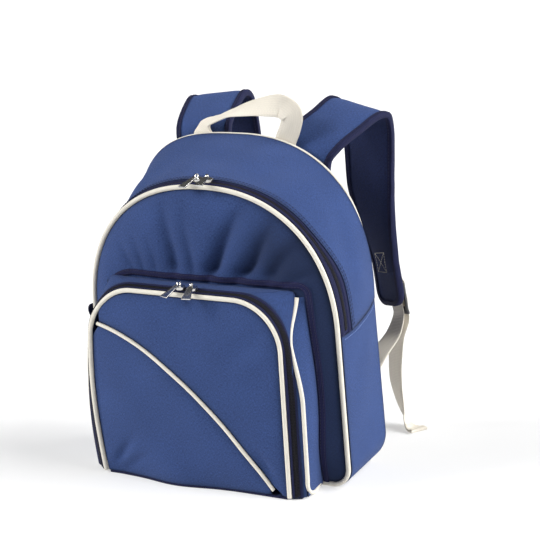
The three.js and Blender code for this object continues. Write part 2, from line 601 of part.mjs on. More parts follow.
// The panel is cut in two along the accent: each half runs from the accent to its stretch of the rim
function pocketPanels() {
  const inset = -(PIPING_RADIUS + GAP);
  const reach = ACCENT_RADIUS + GAP;
  const rim = samples(U_STEPS).map((t) => uLine(POCKET_PIPE, t, inset)).map((p) => new Vector2(p.x, p.z));
  const leftSide = rim.slice(0, U_STEPS / 2);
  const onRim = (z) => {
    const i = leftSide.findIndex((p) => p.y > z);
    const [below, above] = [leftSide[i - 1], leftSide[i]];
    return below.clone().lerp(above, (z - below.y) / (above.y - below.y));
  };
  const [startZ, endX] = [ACCENT.start[1], ACCENT.end[0]];
  const lowStart = onRim(startZ - reach - ACCENT_TIP);
  const lowEnd = new Vector2(endX - reach - ACCENT_TIP, POCKET_FOOT);
  const down = leftSide.filter((p) => p.y < lowStart.y - ACCENT_TIP).reverse();
  const foot = samples(FOOT_STEPS).slice(1).map((share) => rim[0].clone().lerp(lowEnd, share));
  const low = [lowStart, ...down, ...foot];
  const half = (outerRim, side) => (u, v) => {
    const edge = along(outerRim, u);
    const tip = u === 0 || u === 1;
    const seam = tip ? edge.clone() : accentOffset(u, side * reach);
    return onPanel(seam.lerp(edge, v));
  };
  const toBack = () => TO_BACK;
  add('pocket_panel_lower', wall(low.length - 1, 4, half(low, -1), toBack), BLUE());

  const highStart = onRim(startZ + reach + 1.5 * ACCENT_TIP);
  const highEnd = new Vector2(endX + reach + ACCENT_TIP, POCKET_FOOT);
  const up = rim.filter((p, i) => i > U_STEPS / 2 || p.y > highStart.y + 2 * ACCENT_TIP);
  const over = [highStart, ...up, highEnd];
  add('pocket_panel_upper', wall(over.length - 1, 5, half(over, 1), toBack), BLUE());

  const trim = (u) => onPanel(accentLine(lerp(ACCENT.from, ACCENT.to, u)));
  add('pocket_accent_piping', tube(trim, ACCENT_RADIUS, 24), CREAM());
}

function pocket() {
  pocketPanels();
  add('pocket_piping', tube((t) => uLine(POCKET_PIPE, t), PIPING_RADIUS, U_STEPS), CREAM());

  const zipNear = (t) => uLine(POCKET_PIPE, t, POCKET_ZIP_INSET);
  const zipFar = (t) => uLine(POCKET_ZIP_EDGE, t);
  const strip = (near, far) => (u, v) => near(u).lerp(far(u), v);
  add('pocket_zip', wall(U_STEPS, 2, strip(zipNear, zipFar), intoPocket), NAVY());

  const topNear = (t) => uLine(POCKET_ZIP_EDGE, t, GAP);
  const topFar = (t) => uLine(POCKET_SEAM, t, -(SIDE_PIPING_RADIUS + GAP));
  add('pocket_top', wall(U_STEPS, 3, strip(topNear, topFar), intoPocket), BLUE());

  for (const [side, sign] of [['left', -1], ['right', 1]]) {
    const t = (u) => (sign < 0 ? u * SIDE_PIECE_SHARE : 1 - u * SIDE_PIECE_SHARE);
    const front = (u) => {
      const p = uLine(POCKET_SEAM, t(u));
      return p.add(new Vector3(-sign * SIDE_PIPING_RADIUS * 0.4, SIDE_PIPING_RADIUS + 2 * GAP, 0));
    };
    const back = (u) => {
      const { z } = uLine(POCKET_SEAM, t(u));
      const x = sign * pocketBackHalf(z);
      return new Vector3(x, pocketBackY(x, z), z);
    };
    const sideWall = wall(14, 3, strip(front, back), () => new Vector3(-sign, 0, 0));
    add(`pocket_side_${side}`, sideWall, BLUE());
    const seam = (u) => uLine(POCKET_SEAM, t(u));
    add(`pocket_side_piping_${side}`, tube(seam, SIDE_PIPING_RADIUS, 16), CREAM());
  }

  const floorFront = (x) => {
    const seam = x < 0 ? POCKET_SEAM.left : POCKET_SEAM.right;
    const pipe = x < 0 ? POCKET_PIPE.left : POCKET_PIPE.right;
    const back = x < 0 ? POCKET_SEAM.leftBack : POCKET_SEAM.rightBack;
    return lerp(panelFace(x, 0), POCKET_FRONT + back, smooth(pipe - BASE_TURN, seam, Math.abs(x)));
  };
  const base = (u, v) => {
    const x = lerp(-POCKET_BASE_HALF, POCKET_BASE_HALF, u);
    return new Vector3(x, lerp(floorFront(x), POCKET_BASE_BACK, v), 0);
  };
  add('pocket_base', wall(16, 1, base, () => new Vector3(0, 0, 1), POCKET_FOOT - 0.5), BLUE());

  const bindingLine = (t, grow) => {
    const k = Math.min(t, 1 - t);
    const sign = t < 0.5 ? -1 : 1;
    const top = POCKET_SEAM.top + BINDING_SEAT + grow;
    if (k > U_SIDE) {
      const share = (t - U_SIDE) / (1 - 2 * U_SIDE);
      const half = pocketBackHalf(POCKET_SEAM.top) + BINDING_SEAT + grow;
      return new Vector2(lerp(-half, half, share), top);
    }
    const z = lerp(BINDING_FOOT, top, k / U_SIDE);
    return new Vector2(sign * (pocketBackHalf(Math.min(z, POCKET_SEAM.top)) + BINDING_SEAT + grow), z);
  };
  const binding = (u, v) => {
    const p = bindingLine(u, v * BINDING_WIDTH);
    return new Vector3(p.x, panelY(p.x, p.y) - BINDING_LIFT - BINDING_THICK, p.y);
  };
  add('pocket_binding', wall(BINDING_STEPS, 1, binding, () => TO_BACK, BINDING_THICK), NAVY());
}

// Where the pocket's walls meet the main panel
function pocketBackHalf(z) {
  return POCKET_BACK_HALF + POCKET_BACK_SWELL * Math.sin((Math.PI * z) / POCKET_SEAM.top);
}

function pocketBackY(x, z) {
  return Math.min(panelY(x, z), frontPlane(z) - PANEL_INSET) - SIDE_SEAT;
}

// Straps and webbing

const SIDES = [['left', -1], ['right', 1]];

// A band that follows rows of centre points: place(distance, a, out) is a across it and out from its face
function band(rows, sign = 1, leftTilt = 1) {
  const left = sign < 0;
  const centres = rows.map(({ x, y, z, bow = 0, lift = 0 }) => (
    new Vector3(sign * x + (left ? bow : 0), y, z + (left ? lift : 0))
  ));
  const path = new THREE.CatmullRomCurve3(centres, false, 'centripetal');
  const length = path.getLength();
  const blend = (key, i, share) => lerp(rows[i][key], rows[i + 1][key], share);
  const frameAt = (t) => {
    const way = path.getTangent(t);
    const row = t * (rows.length - 1);
    const i = Math.min(Math.floor(row), rows.length - 2);
    const [x, y, z] = ['acrossX', 'acrossY', 'acrossZ'].map((key) => blend(key, i, row - i));
    const across = new Vector3(x, sign * y, left ? -leftTilt * z : z);
    across.addScaledVector(way, -across.dot(way)).normalize();
    const out = across.clone().cross(way);
    return { centre: path.getPoint(t), across, way, out, width: blend('width', i, row - i) };
  };
  const frame = (distance) => {
    const share = clamp(distance / length);
    const found = frameAt(path.getUtoTmapping(share));
    found.centre.addScaledVector(found.way, distance - share * length);
    return found;
  };
  const place = (distance, a, out) => {
    const { centre, across, out: face } = frame(distance);
    return centre.addScaledVector(across, a).addScaledVector(face, out);
  };
  return { length, frame, frameAt, place };
}

// A flat length of webbing, with a few steps between each two rows
function webbing(rows, sign, steps) {
  const line = band(rows, sign);
  const [a, h] = [WEBBING_WIDTH / 2, WEBBING_THICK / 2];
  const section = [[-a, -h], [a, -h], [a, h], [-a, h]].map(([x, y]) => new Vector2(x, y));
  const last = steps * (rows.length - 1);
  return sweep(section, last + 1, (i, p) => {
    const { centre, across, out } = line.frameAt(i / last);
    return centre.addScaledVector(across, p.x).addScaledVector(out, p.y);
  });
}

// Stations along the strap and round its free end, which its body and its binding share
const END_ANGLES = [1, 2, 3].map((i) => (i * Math.PI) / 6);

function strapStops(strap) {
  const rounded = strap.length - STRAP_END_RADIUS;
  return samples(STRAP_SECTIONS).map((share) => share * rounded);
}

function strapBody(strap) {
  const [edge, full] = [STRAP_EDGE_THICK / 2, STRAP_THICK / 2];
  const shoulder = STRAP_HALF - STRAP_EDGE;
  const crown = shoulder - STRAP_EDGE;
  const face = [[STRAP_HALF, edge], [shoulder, edge], [crown, full]];
  const upper = [...face, ...face.map(([x, y]) => [-x, y]).reverse()];
  const lower = upper.map(([x, y]) => [x, -y]).reverse();
  const section = [...upper, ...lower].map(([x, y]) => new Vector2(x, y));
  const rounded = strap.length - STRAP_END_RADIUS;
  const stops = strapStops(strap);
  stops.push(...END_ANGLES.map((angle) => rounded + STRAP_END_RADIUS * Math.sin(angle)));
  return sweep(section, stops.length, (i, p) => {
    const distance = stops[i];
    const past = Math.max(distance - rounded, 0);
    const cut = STRAP_END_RADIUS - Math.sqrt(Math.max(STRAP_END_RADIUS ** 2 - past ** 2, 0));
    const half = strap.frame(distance).width / 2 - cut;
    const flat = smooth(strap.length - STRAP_TAPER, rounded, distance);
    const height = Math.sign(p.y) * Math.min(Math.abs(p.y), lerp(full, edge, flat));
    return strap.place(distance, (p.x / STRAP_HALF) * half, height);
  });
}

// Tape folded over the strap's edge: down one side, round the free end and up the other side
function strapBinding(strap) {
  const inner = STRAP_EDGE_THICK / 2 + 1.5 * GAP;
  const outer = inner + 1;
  const fold = STRAP_EDGE - 1;
  const section = [
    [-fold, outer], [-fold, inner], [GAP, inner], [GAP, -inner],
    [-fold, -inner], [-fold, -outer], [GAP + 1, -outer], [GAP + 1, outer],
  ].map(([x, y]) => new Vector2(x, y));
  const straight = strap.length - STRAP_END_RADIUS;
  const route = strapStops(strap).slice(1).map((distance) => ({ distance, angle: 0 }));
  route.push(...END_ANGLES.map((angle) => ({ distance: straight, angle })));
  const back = route.map(({ distance, angle }) => ({ distance, angle: Math.PI - angle })).reverse();
  const stations = [...route, ...back];
  return sweep(section, stations.length, (i, p) => {
    const { distance, angle } = stations[i];
    const corner = strap.frame(distance).width / 2 - STRAP_END_RADIUS;
    const reach = STRAP_END_RADIUS + p.x;
    const side = angle <= Math.PI / 2 && i < route.length ? 1 : -1;
    return strap.place(distance + reach * Math.sin(angle), side * corner + reach * Math.cos(angle), p.y);
  });
}

function buckle(strap) {
  const half = BUCKLE.slot / 2;
  const [first, , last] = BUCKLE.bars;
  const bar = BUCKLE.bar / 2;
  const rectangle = (path, x, from, to) => {
    path.moveTo(-x, from);
    path.lineTo(x, from);
    path.lineTo(x, to);
    path.lineTo(-x, to);
    path.closePath();
    return path;
  };
  const frame = rectangle(new THREE.Shape(), half + BUCKLE.rail, first - bar, last + bar);
  for (let i = 0; i < 2; i++) {
    frame.holes.push(rectangle(new THREE.Path(), half, BUCKLE.bars[i] + bar, BUCKLE.bars[i + 1] - bar));
  }
  const plate = new THREE.ExtrudeGeometry(frame, { depth: BUCKLE.bar, bevelEnabled: false });
  plate.translate(0, 0, BUCKLE.out - bar);
  const { centre, across, way, out } = strap.frame(strap.length);
  const turn = new THREE.Matrix4().makeBasis(across, way, out).setPosition(centre);
  return plate.applyMatrix4(turn);
}

function shoulderStraps() {
  for (const [side, sign] of SIDES) {
    const strap = band(STRAP_ROWS, sign, LEFT_TILT);
    add(`shoulder_strap_${side}`, strapBody(strap), BLUE());
    add(`strap_binding_${side}`, strapBinding(strap), NAVY());
    add(`buckle_${side}`, buckle(strap), PLASTIC());
    const route = (rows) => rows.map(({ past, out }) => {
      const { x, y, z } = strap.place(strap.length + past, 0, out);
      const { across } = strap.frame(strap.length + past);
      return { x: sign * x, y, z, acrossX: across.x, acrossY: sign * across.y, acrossZ: sign * across.z };
    });
    add(`buckle_loop_${side}`, webbing(route(LOOP_ROUTE), sign, 3), WEBBING());
    const adjuster = [...ANCHOR_ROWS, ...route(THREAD_ROUTE), ...TAIL_ROWS];
    add(`adjuster_webbing_${side}`, webbing(adjuster, sign, 3), WEBBING());
  }
  add('grab_handle', webbing(HANDLE_ROWS, 1, 3), WEBBING());
}

// Zip sliders, each with a bar for its pull tab's eye

function sliderBody() {
  const { length, width, height, post, window, bar, barHeight, root, sill } = SLIDER;
  const plan = new THREE.Shape();
  plan.moveTo(-length / 2, -width / 4);
  plan.lineTo(-length / 4, -width / 2);
  plan.lineTo(length / 4, -width / 2);
  plan.lineTo(length / 2, -width / 4);
  plan.lineTo(length / 2, width / 4);
  plan.lineTo(length / 4, width / 2);
  plan.lineTo(-length / 4, width / 2);
  plan.lineTo(-length / 2, width / 4);
  const body = new THREE.ExtrudeGeometry(plan, { depth: height, bevelEnabled: false });
  const bridge = new THREE.Shape();
  const half = window / 2;
  bridge.moveTo(-half - post, -root);
  bridge.lineTo(half + post, -root);
  bridge.lineTo(half + post, barHeight);
  bridge.lineTo(half, barHeight + bar / 2);
  bridge.lineTo(-half, barHeight + bar / 2);
  bridge.lineTo(-half - post, barHeight);
  const opening = new THREE.Path();
  opening.moveTo(-half, -sill);
  opening.lineTo(-half, barHeight - bar / 2);
  opening.lineTo(half, barHeight - bar / 2);
  opening.lineTo(half, -sill);
  bridge.holes.push(opening);
  const arch = new THREE.ExtrudeGeometry(bridge, { depth: bar, bevelEnabled: false });
  arch.rotateX(Math.PI / 2).translate(0, bar / 2, height);
  return join(body, arch);
}

function pullTab() {
  const { eyeHole, eye, eyeWidth, start, shoulder, length, width, corner, thick } = PULL;
  const ring = new THREE.Shape().absarc(0, 0, eye, 0, 2 * Math.PI);
  ring.holes.push(new THREE.Path().absarc(0, 0, eyeHole, 0, 2 * Math.PI, true));
  const loop = new THREE.ExtrudeGeometry(ring, { depth: eyeWidth, bevelEnabled: false, curveSegments: 6 });
  loop.rotateY(Math.PI / 2).translate(-eyeWidth / 2, 0, 0);
  const neck = eyeWidth / 2;
  const tab = new THREE.Shape();
  tab.moveTo(-neck, -(eye + eyeHole) / 2);
  tab.lineTo(-neck, -start);
  tab.lineTo(-width / 2, -start - shoulder);
  tab.lineTo(-width / 2, -length + corner);
  tab.lineTo(-width / 2 + corner, -length);
  tab.lineTo(width / 2 - corner, -length);
  tab.lineTo(width / 2, -length + corner);
  tab.lineTo(width / 2, -start - shoulder);
  tab.lineTo(neck, -start);
  tab.lineTo(neck, -(eye + eyeHole) / 2);
  const plate = new THREE.ExtrudeGeometry(tab, { depth: thick, bevelEnabled: false });
  plate.translate(0, 0, -thick / 2);
  return join(loop, plate);
}

// Seats a slider on the zip between the tape's near and far edges, and hangs its pull on the bar
function zipPull(zip, { side, turn, droop }, near, far) {
  const slope = Math.atan2(far.z - near.z, far.y - near.y);
  const seat = new THREE.Group();
  seat.position.copy(near).lerp(far, 0.5);
  seat.rotation.x = slope;
  seat.translateZ(2 * GAP);
  bag.add(seat);
  add(`${zip}_slider_${side}`, sliderBody(), STEEL(), seat);

  const pull = new THREE.Group();
  pull.position.copy(seat.position);
  const lift = SLIDER.height + SLIDER.barHeight;
  pull.position.add(new Vector3(0, -Math.sin(slope) * lift, Math.cos(slope) * lift));
  pull.rotation.set(THREE.MathUtils.degToRad(droop), 0, THREE.MathUtils.degToRad(turn), 'ZYX');
  bag.add(pull);
  add(`${zip}_pull_${side}`, pullTab(), STEEL(), pull);
}

// The place along a line where it crosses a given x, between two shares where x runs one way
function shareAt(place, x, from, to) {
  let [low, high] = [from, to];
  for (let i = 0; i < 40; i++) {
    const middle = (low + high) / 2;
    const before = (place(middle).x - x) * (place(to).x - place(from).x) < 0;
    if (before) low = middle;
    else high = middle;
  }
  return (low + high) / 2;
}

function zipPulls() {
  for (const row of MAIN_SLIDERS) {
    const t = shareAt((share) => outline(FRONT, share), row.x, SIDE_SHARE, 1 - SIDE_SHARE);
    const zipEnd = zipBand(t) / gussetDepth(t);
    zipPull('main', row, gussetPoint(t, 0), gussetPoint(t, zipEnd));
  }
  for (const row of POCKET_SLIDERS) {
    const t = shareAt((share) => uLine(POCKET_PIPE, share), row.x, U_CORNER, 1 - U_CORNER);
    const near = uLine(POCKET_PIPE, t, POCKET_ZIP_INSET);
    const far = uLine(POCKET_ZIP_EDGE, t).setX(near.x);
    zipPull('pocket', row, near, far);
  }
}

mainCompartment();
pocket();
shoulderStraps();
zipPulls();

export default bag;
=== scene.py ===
# %% [markdown]
# # A picnic backpack
# The bag stands upright: a domed main compartment, a boxy front pocket, cream piping, two coil zips,
# a webbing handle and two padded shoulder straps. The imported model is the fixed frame, and every
# piece made here takes the place of one of its nodes. Tables are in millimetres and meshes in metres.

# %% Load the frame
import json
import math

import bmesh
import bpy
import numpy as np
from mathutils import Matrix, Vector


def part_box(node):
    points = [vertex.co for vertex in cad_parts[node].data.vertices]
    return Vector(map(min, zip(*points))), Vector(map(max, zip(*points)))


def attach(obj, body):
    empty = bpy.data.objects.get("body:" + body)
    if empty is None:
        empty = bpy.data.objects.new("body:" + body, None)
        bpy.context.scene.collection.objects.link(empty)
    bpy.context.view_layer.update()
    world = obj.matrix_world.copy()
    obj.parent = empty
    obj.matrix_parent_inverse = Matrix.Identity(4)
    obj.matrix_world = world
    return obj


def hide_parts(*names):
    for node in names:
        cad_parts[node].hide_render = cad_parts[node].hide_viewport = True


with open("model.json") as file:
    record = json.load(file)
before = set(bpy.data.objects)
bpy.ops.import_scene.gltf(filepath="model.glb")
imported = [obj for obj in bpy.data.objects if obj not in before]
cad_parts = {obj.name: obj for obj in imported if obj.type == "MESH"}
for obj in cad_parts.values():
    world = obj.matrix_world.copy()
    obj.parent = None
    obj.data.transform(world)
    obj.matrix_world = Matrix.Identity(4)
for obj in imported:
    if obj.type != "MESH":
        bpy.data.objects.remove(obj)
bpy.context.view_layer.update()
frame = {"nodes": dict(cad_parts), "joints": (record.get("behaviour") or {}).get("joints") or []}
MM = 0.001

# %% [markdown]
# ## Camera
# The camera stands to the right of the pocket and a little above it, with a long lens. A camera can be
# aimed with a constraint, but three angles and a distance keep the picture's slight roll as well.

# %% Camera
CAMERA = {"yaw": 29.19, "pitch": 12.97, "roll": -2.3, "distance": 1755, "half_view": 9.0}
LOOK_AT = (62.7, -41, 225)
SENSOR = 36

yaw, pitch, roll = (math.radians(CAMERA[key]) for key in ("yaw", "pitch", "roll"))
backward = Vector((math.sin(yaw) * math.cos(pitch), -math.cos(yaw) * math.cos(pitch), math.sin(pitch)))
level = Vector((math.cos(yaw), math.sin(yaw), 0))
upright = backward.cross(level)
right = level * math.cos(roll) + upright * math.sin(roll)
top = upright * math.cos(roll) - level * math.sin(roll)
bpy.ops.object.select_all(action="DESELECT")
bpy.ops.object.camera_add()
camera = bpy.context.object
camera.matrix_world = Matrix.Translation(MM * (Vector(LOOK_AT) + backward * CAMERA["distance"])) @ Matrix(
    (right, top, backward)).transposed().to_4x4()
camera.data.sensor_width = SENSOR
camera.data.lens = SENSOR / 2 / math.tan(math.radians(CAMERA["half_view"]))
bpy.context.scene.camera = camera
print("camera at", [round(x, 3) for x in camera.matrix_world.translation])

# %% [markdown]
# ## Floor and light
# The floor is one pale plane. Two wide lights stand for banks of studio softboxes: the stronger one, on
# the right and a little behind, lights the top and the right side, and the other one, low on the left in
# front, rakes over the front so that its folds show. Area lights would do, but they fade with distance,
# and a sun with a wide angle lights every piece alike. A weak softbox puts a gleam on the metal.

# %% Floor and light
FLOOR_SIZE = 60
BANKS = {
    "side_bank": {"toward": (0.80, 0.24, 0.55), "spread": 56, "strength": 5.2},
    "front_bank": {"toward": (-0.70, -0.52, 0.49), "spread": 30, "strength": 3.1},
}
GLEAM = {"place": (-1.2, -2.4, 1.5), "size": 1.4, "watts": 7}
AIM = Vector((0, -0.02, 0.17))
GLOW = 0.10
FLOOR_GLOW = 0.45

bpy.ops.mesh.primitive_plane_add(size=FLOOR_SIZE)
floor = bpy.context.object
floor.name = "floor"
for name, row in BANKS.items():
    bpy.ops.object.light_add(type="SUN", location=2 * Vector(row["toward"]))
    bank = bpy.context.object
    bank.name = name
    bank.data.energy = row["strength"]
    bank.data.angle = math.radians(row["spread"])
    bank.rotation_euler = (-Vector(row["toward"])).to_track_quat("-Z", "Y").to_euler()
bpy.ops.object.light_add(type="AREA", location=GLEAM["place"])
gleam = bpy.context.object
gleam.name = "front_gleam"
gleam.data.size = GLEAM["size"]
gleam.data.energy = GLEAM["watts"]
gleam.rotation_euler = (AIM - gleam.location).to_track_quat("-Z", "Y").to_euler()
world = bpy.data.worlds.new("studio")
bpy.context.scene.world = world
world.use_nodes = True
world.node_tree.nodes["Background"].inputs["Color"].default_value = (1, 1, 1, 1)
world.node_tree.nodes["Background"].inputs["Strength"].default_value = GLOW
bpy.context.scene.view_settings.view_transform = "Standard"
print("lights", list(BANKS), gleam.name)

# %% [markdown]
# ## Shader sums
# A finish is a sum of patterns, and sums are easier to read as Python than as a row of nodes. A Number
# wraps a socket, so that `1 - mask` adds a Math node by itself. A Finish makes a material. Its
# `node` method adds any other node, and the rest are short ways to what several finishes share.

# %% Shader helpers
class Number:
    """A socket with a number in it, for use in sums."""

    def __init__(self, finish, socket):
        self.finish = finish
        self.socket = socket

    def _math(self, operation, *values):
        return self.finish.node("ShaderNodeMath", {"operation": operation}, dict(enumerate(values)))

    def __add__(self, other):
        return self._math("ADD", self, other)

    def __sub__(self, other):
        return self._math("SUBTRACT", self, other)

    def __rsub__(self, other):
        return self._math("SUBTRACT", other, self)

    def __mul__(self, other):
        return self._math("MULTIPLY", self, other)

    __radd__ = __add__
    __rmul__ = __mul__

    def sin(self):
        return self._math("SINE", self)

    def abs(self):
        return self._math("ABSOLUTE", self)

    def floor(self):
        return self._math("FLOOR", self)

    def odd(self):
        """0 where the whole number is even, and 1 where it is odd."""
        return self._math("MODULO", self.abs(), 2)


class Finish:
    """A material on the Principled shader, with its constants set on the shader's own sockets."""

    def __init__(self, name, **constants):
        self.material = bpy.data.materials.new(name)
        self.material.use_nodes = True
        self.tree = self.material.node_tree
        self.shader = self.tree.nodes["Principled BSDF"]
        for socket, value in constants.items():
            self.shader.inputs[socket.replace("_", " ")].default_value = value

    def node(self, kind, settings=None, sockets=None, out=0):
        made = self.tree.nodes.new(kind)
        for key, value in (settings or {}).items():
            setattr(made, key, value)
        for key, value in (sockets or {}).items():
            self.feed(made.inputs[key], value)
        return Number(self, made.outputs[out])

    def feed(self, socket, value):
        if isinstance(value, Number):
            self.tree.links.new(value.socket, socket)
        else:
            socket.default_value = value

    def cut(self):
        """The place on the cut cloth, along and across, in millimetres, from the piece's own map."""
        place = self.node("ShaderNodeUVMap", {"uv_map": "cut"})
        along = self.node("ShaderNodeSeparateXYZ", None, {0: place})
        across = Number(self, along.socket.node.outputs[1])
        return along * (1 / MM), across * (1 / MM)

    def noise(self, x, y):
        place = self.node("ShaderNodeCombineXYZ", None, {0: x, 1: y})
        return self.node("ShaderNodeTexNoise", None, {"Vector": place, "Scale": 1.0, "Detail": 2})

    def blend(self, share, low, high):
        """A colour between two others."""
        settings = {"data_type": "RGBA", "clamp_factor": True}
        low, high = (tint if isinstance(tint, Number) else (*tint, 1) for tint in (low, high))
        return self.node("ShaderNodeMix", settings, {0: share, 6: low, 7: high}, out=2)

    def paint(self, socket, value):
        self.feed(self.shader.inputs[socket], value)

    def bump(self, height, depth_mm):
        sockets = {"Height": height, "Distance": depth_mm * MM, "Strength": 1.0}
        self.paint("Normal", self.node("ShaderNodeBump", None, sockets))


def shade(colour, amount):
    """A colour made darker or lighter."""
    return tuple(amount * channel for channel in colour)


print("shader helpers ready")

# %% [markdown]
# ## Cloth finishes
# The blue cloth is a plain weave of coarse polyester: square threads that pass over and under, with
# slubs, a little fading, wear and painted shade along its seams, and painted shade in hollows. The navy
# tape has small knots, the webbing has cross ribs and runs of warp, and the piping is a thin cover drawn
# tight over a cord. A picture could be laid on each, but patterns worked out from the cut keep their
# scale on every piece.

# %% Cloth finishes
BLUE = (0.0298, 0.0590, 0.176)
NAVY = (0.0125, 0.0145, 0.047)
BINDING_NAVY = (0.0140, 0.0155, 0.054)
LINING = (0.0150, 0.0235, 0.078)
CREAM = (0.70, 0.665, 0.585)
WEBBING_CREAM = (0.76, 0.71, 0.615)
THREAD_PITCH = 0.85
WEAVE_DEPTH = 0.14
KNOT_PITCH = 1.5
COVER_PITCH = 0.7
RIB_PITCH = 1.8
RUN_WIDTH = 2.6


def cloth_finish(name, colour):
    """A plain weave with slubs, with wear and painted shade along its seams and painted shade in its hollows.
    """
    finish = Finish(name, Sheen_Weight=0.04, Sheen_Roughness=0.5, Specular_IOR_Level=0.2)
    along, across = finish.cut()
    warp, weft = along * (1 / THREAD_PITCH), across * (1 / THREAD_PITCH)
    over = (warp.floor() + weft.floor()).odd()
    thread = over * (weft * math.pi).sin().abs() + (1 - over) * (warp * math.pi).sin().abs()
    slub = finish.noise(along * 0.42, across * 1.6) + finish.noise(along * 1.6, across * 0.42)
    fade = finish.noise(along * 0.02, across * 0.02)
    seam = finish.node("ShaderNodeAttribute", {"attribute_name": "seam"}, out=2)
    # Near a seam the tone drops a little: wear along the seam, and partly painted shade.
    tone = 0.5 + (slub - 1.0) * 2.2 + (thread - 0.64) * 0.5 + (fade - 0.5) * 0.5 - seam * 0.3
    woven = finish.blend(tone, shade(colour, 0.66), shade(colour, 1.34))
    # A narrow dark line right at each seam is painted shadow of the seam's gap.
    seam_gap_shadow = seam * seam * seam * seam
    # Painted shade in the front panel's folds and in a patch low on its right, read from its attribute.
    painted_shade = finish.node("ShaderNodeAttribute", {"attribute_name": "painted_shade"}, out=2)
    finish.paint("Base Color", finish.blend(seam_gap_shadow * 0.85 + painted_shade * 0.8, woven, shade(colour, 0.2)))
    finish.paint("Roughness", 0.86 + (slub - 1.0) * 0.15)
    finish.bump(thread + slub * 1.2, WEAVE_DEPTH)
    return finish.material


def tape_finish(name, colour):
    """Close tape whose threads cross in small knots, a little worn."""
    finish = Finish(name, Sheen_Weight=0.015, Sheen_Roughness=0.5, Specular_IOR_Level=0.1)
    along, across = finish.cut()
    turn = math.pi / KNOT_PITCH
    knots = (along * turn).sin().abs() * (across * turn).sin().abs()
    wear = finish.noise(along * 0.09, across * 0.3)
    tone = 0.4 + (knots - 0.4) * 0.9 + (wear - 0.5) * 0.7
    finish.paint("Base Color", finish.blend(tone, shade(colour, 0.55), shade(colour, 1.8)))
    finish.paint("Roughness", 0.7 + (wear - 0.5) * 0.2)
    finish.bump(knots, 0.2)
    return finish.material


def piping_finish():
    """A thin cover with small pulls across the cord."""
    finish = Finish("cream_piping", Specular_IOR_Level=0.3, Sheen_Weight=0.05)
    along, around = finish.cut()
    pull = finish.noise(along * 0.35, around * 0.05)
    thread = (along * (math.pi / COVER_PITCH)).sin().abs()
    tone = 0.55 + (pull - 0.5) * 0.9 + (thread - 0.6) * 0.2
    finish.paint("Base Color", finish.blend(tone, shade(CREAM, 0.86), shade(CREAM, 1.05)))
    finish.paint("Roughness", 0.55 + pull * 0.15)
    finish.bump(pull + thread * 0.2, 0.25)
    return finish.material


def webbing_finish():
    """Cross ribs that step by half a rib from one run of warp to the next."""
    finish = Finish("cream_webbing", Specular_IOR_Level=0.2, Sheen_Weight=0.05)
    along, across = finish.cut()
    step = (across * (1 / RUN_WIDTH)).floor().odd() * (RIB_PITCH / 2)
    rib = ((along + step) * (math.pi / RIB_PITCH)).sin().abs()
    run = (across * (math.pi / RUN_WIDTH)).sin().abs()
    soil = finish.noise(along * 0.03, across * 0.05)
    tone = 0.3 + rib * 0.5 + run * 0.12 + (soil - 0.5) * 0.5
    finish.paint("Base Color", finish.blend(tone, shade(WEBBING_CREAM, 0.72), shade(WEBBING_CREAM, 1.12)))
    finish.paint("Roughness", 0.75 + (soil - 0.5) * 0.2)
    finish.bump(rib + run * 0.3, 0.3)
    return finish.material


blue_cloth = cloth_finish("blue_cloth", BLUE)
navy_cloth = cloth_finish("navy_cloth", LINING)
navy_tape = tape_finish("navy_tape", NAVY)
binding_tape = tape_finish("binding_tape", BINDING_NAVY)
cream_piping = piping_finish()
cream_webbing = webbing_finish()
cloths = (blue_cloth, navy_cloth, navy_tape, binding_tape, cream_piping, cream_webbing)
print("cloth finishes", [cloth.name for cloth in cloths])

# %% [markdown]
# ## Hard and thread finishes
# The sliders and pulls are plated metal, the buckles are moulded grey plastic, the coils are nylon, and
# each seam is sewn with its own thread. At this size each of them is one colour with a fine grain and
# faint marks from handling. A finish could be written for each, but one function with a few values
# serves them all, on Object coordinates. The floor takes it too, very coarse, and glows to stay pale.

# %% Hard and thread finishes
def plain_finish(name, colour, roughness, grain, metallic=0.0, depth=0.04, gloss=0.5):
    """A hard surface with fine grain and small handling marks."""
    finish = Finish(name, Metallic=metallic, Specular_IOR_Level=gloss)
    place = finish.node("ShaderNodeTexCoord", out=3)
    fine = finish.node("ShaderNodeTexNoise", None, {"Vector": place, "Scale": grain, "Detail": 3.0})
    marks = finish.node("ShaderNodeTexNoise", None, {"Vector": place, "Scale": grain / 9, "Detail": 4.0})
    tone = 0.5 + (fine - 0.5) * 0.7 + (marks - 0.5) * 0.9
    finish.paint("Base Color", finish.blend(tone, shade(colour, 0.78), shade(colour, 1.2)))
    finish.paint("Roughness", roughness + (marks - 0.5) * 0.25)
    finish.bump(fine, depth)
    return finish.material


gunmetal = plain_finish("gunmetal", (0.58, 0.57, 0.56), 0.24, 900, metallic=1.0, depth=0.02)
nickel = plain_finish("nickel", (0.86, 0.84, 0.80), 0.16, 900, metallic=1.0, depth=0.01)
grey_plastic = plain_finish("grey_plastic", (0.045, 0.046, 0.05), 0.42, 700)
coil_nylon = plain_finish("coil_nylon", (0.010, 0.0095, 0.013), 0.6, 1200, gloss=0.15)
navy_thread = plain_finish("navy_thread", (0.020, 0.022, 0.055), 0.7, 2500, gloss=0.2)
blue_thread = plain_finish("blue_thread", (0.12, 0.185, 0.40), 0.7, 2500)
cream_thread = plain_finish("cream_thread", (0.62, 0.58, 0.50), 0.6, 2500)
pale_floor = plain_finish("pale_floor", (0.52, 0.52, 0.52), 0.9, 3)
floor_shader = pale_floor.node_tree.nodes["Principled BSDF"]
floor_shader.inputs["Emission Color"].default_value = (1, 1, 1, 1)
floor_shader.inputs["Emission Strength"].default_value = FLOOR_GLOW
floor.data.materials.append(pale_floor)
print("hard finishes ready")

# %% [markdown]
# ## Lofts and sweeps
# A bag is cut cloth held in curves, so each wall is lofted: a function gives its outer face at a place
# (u, v), and Solidify gives it the cloth's thickness. Straps, webbing and piping are sections swept
# along a line. Both write a map of the cut, so that the weave runs with the cloth, and lofts also mark
# how near each point is to a seam.

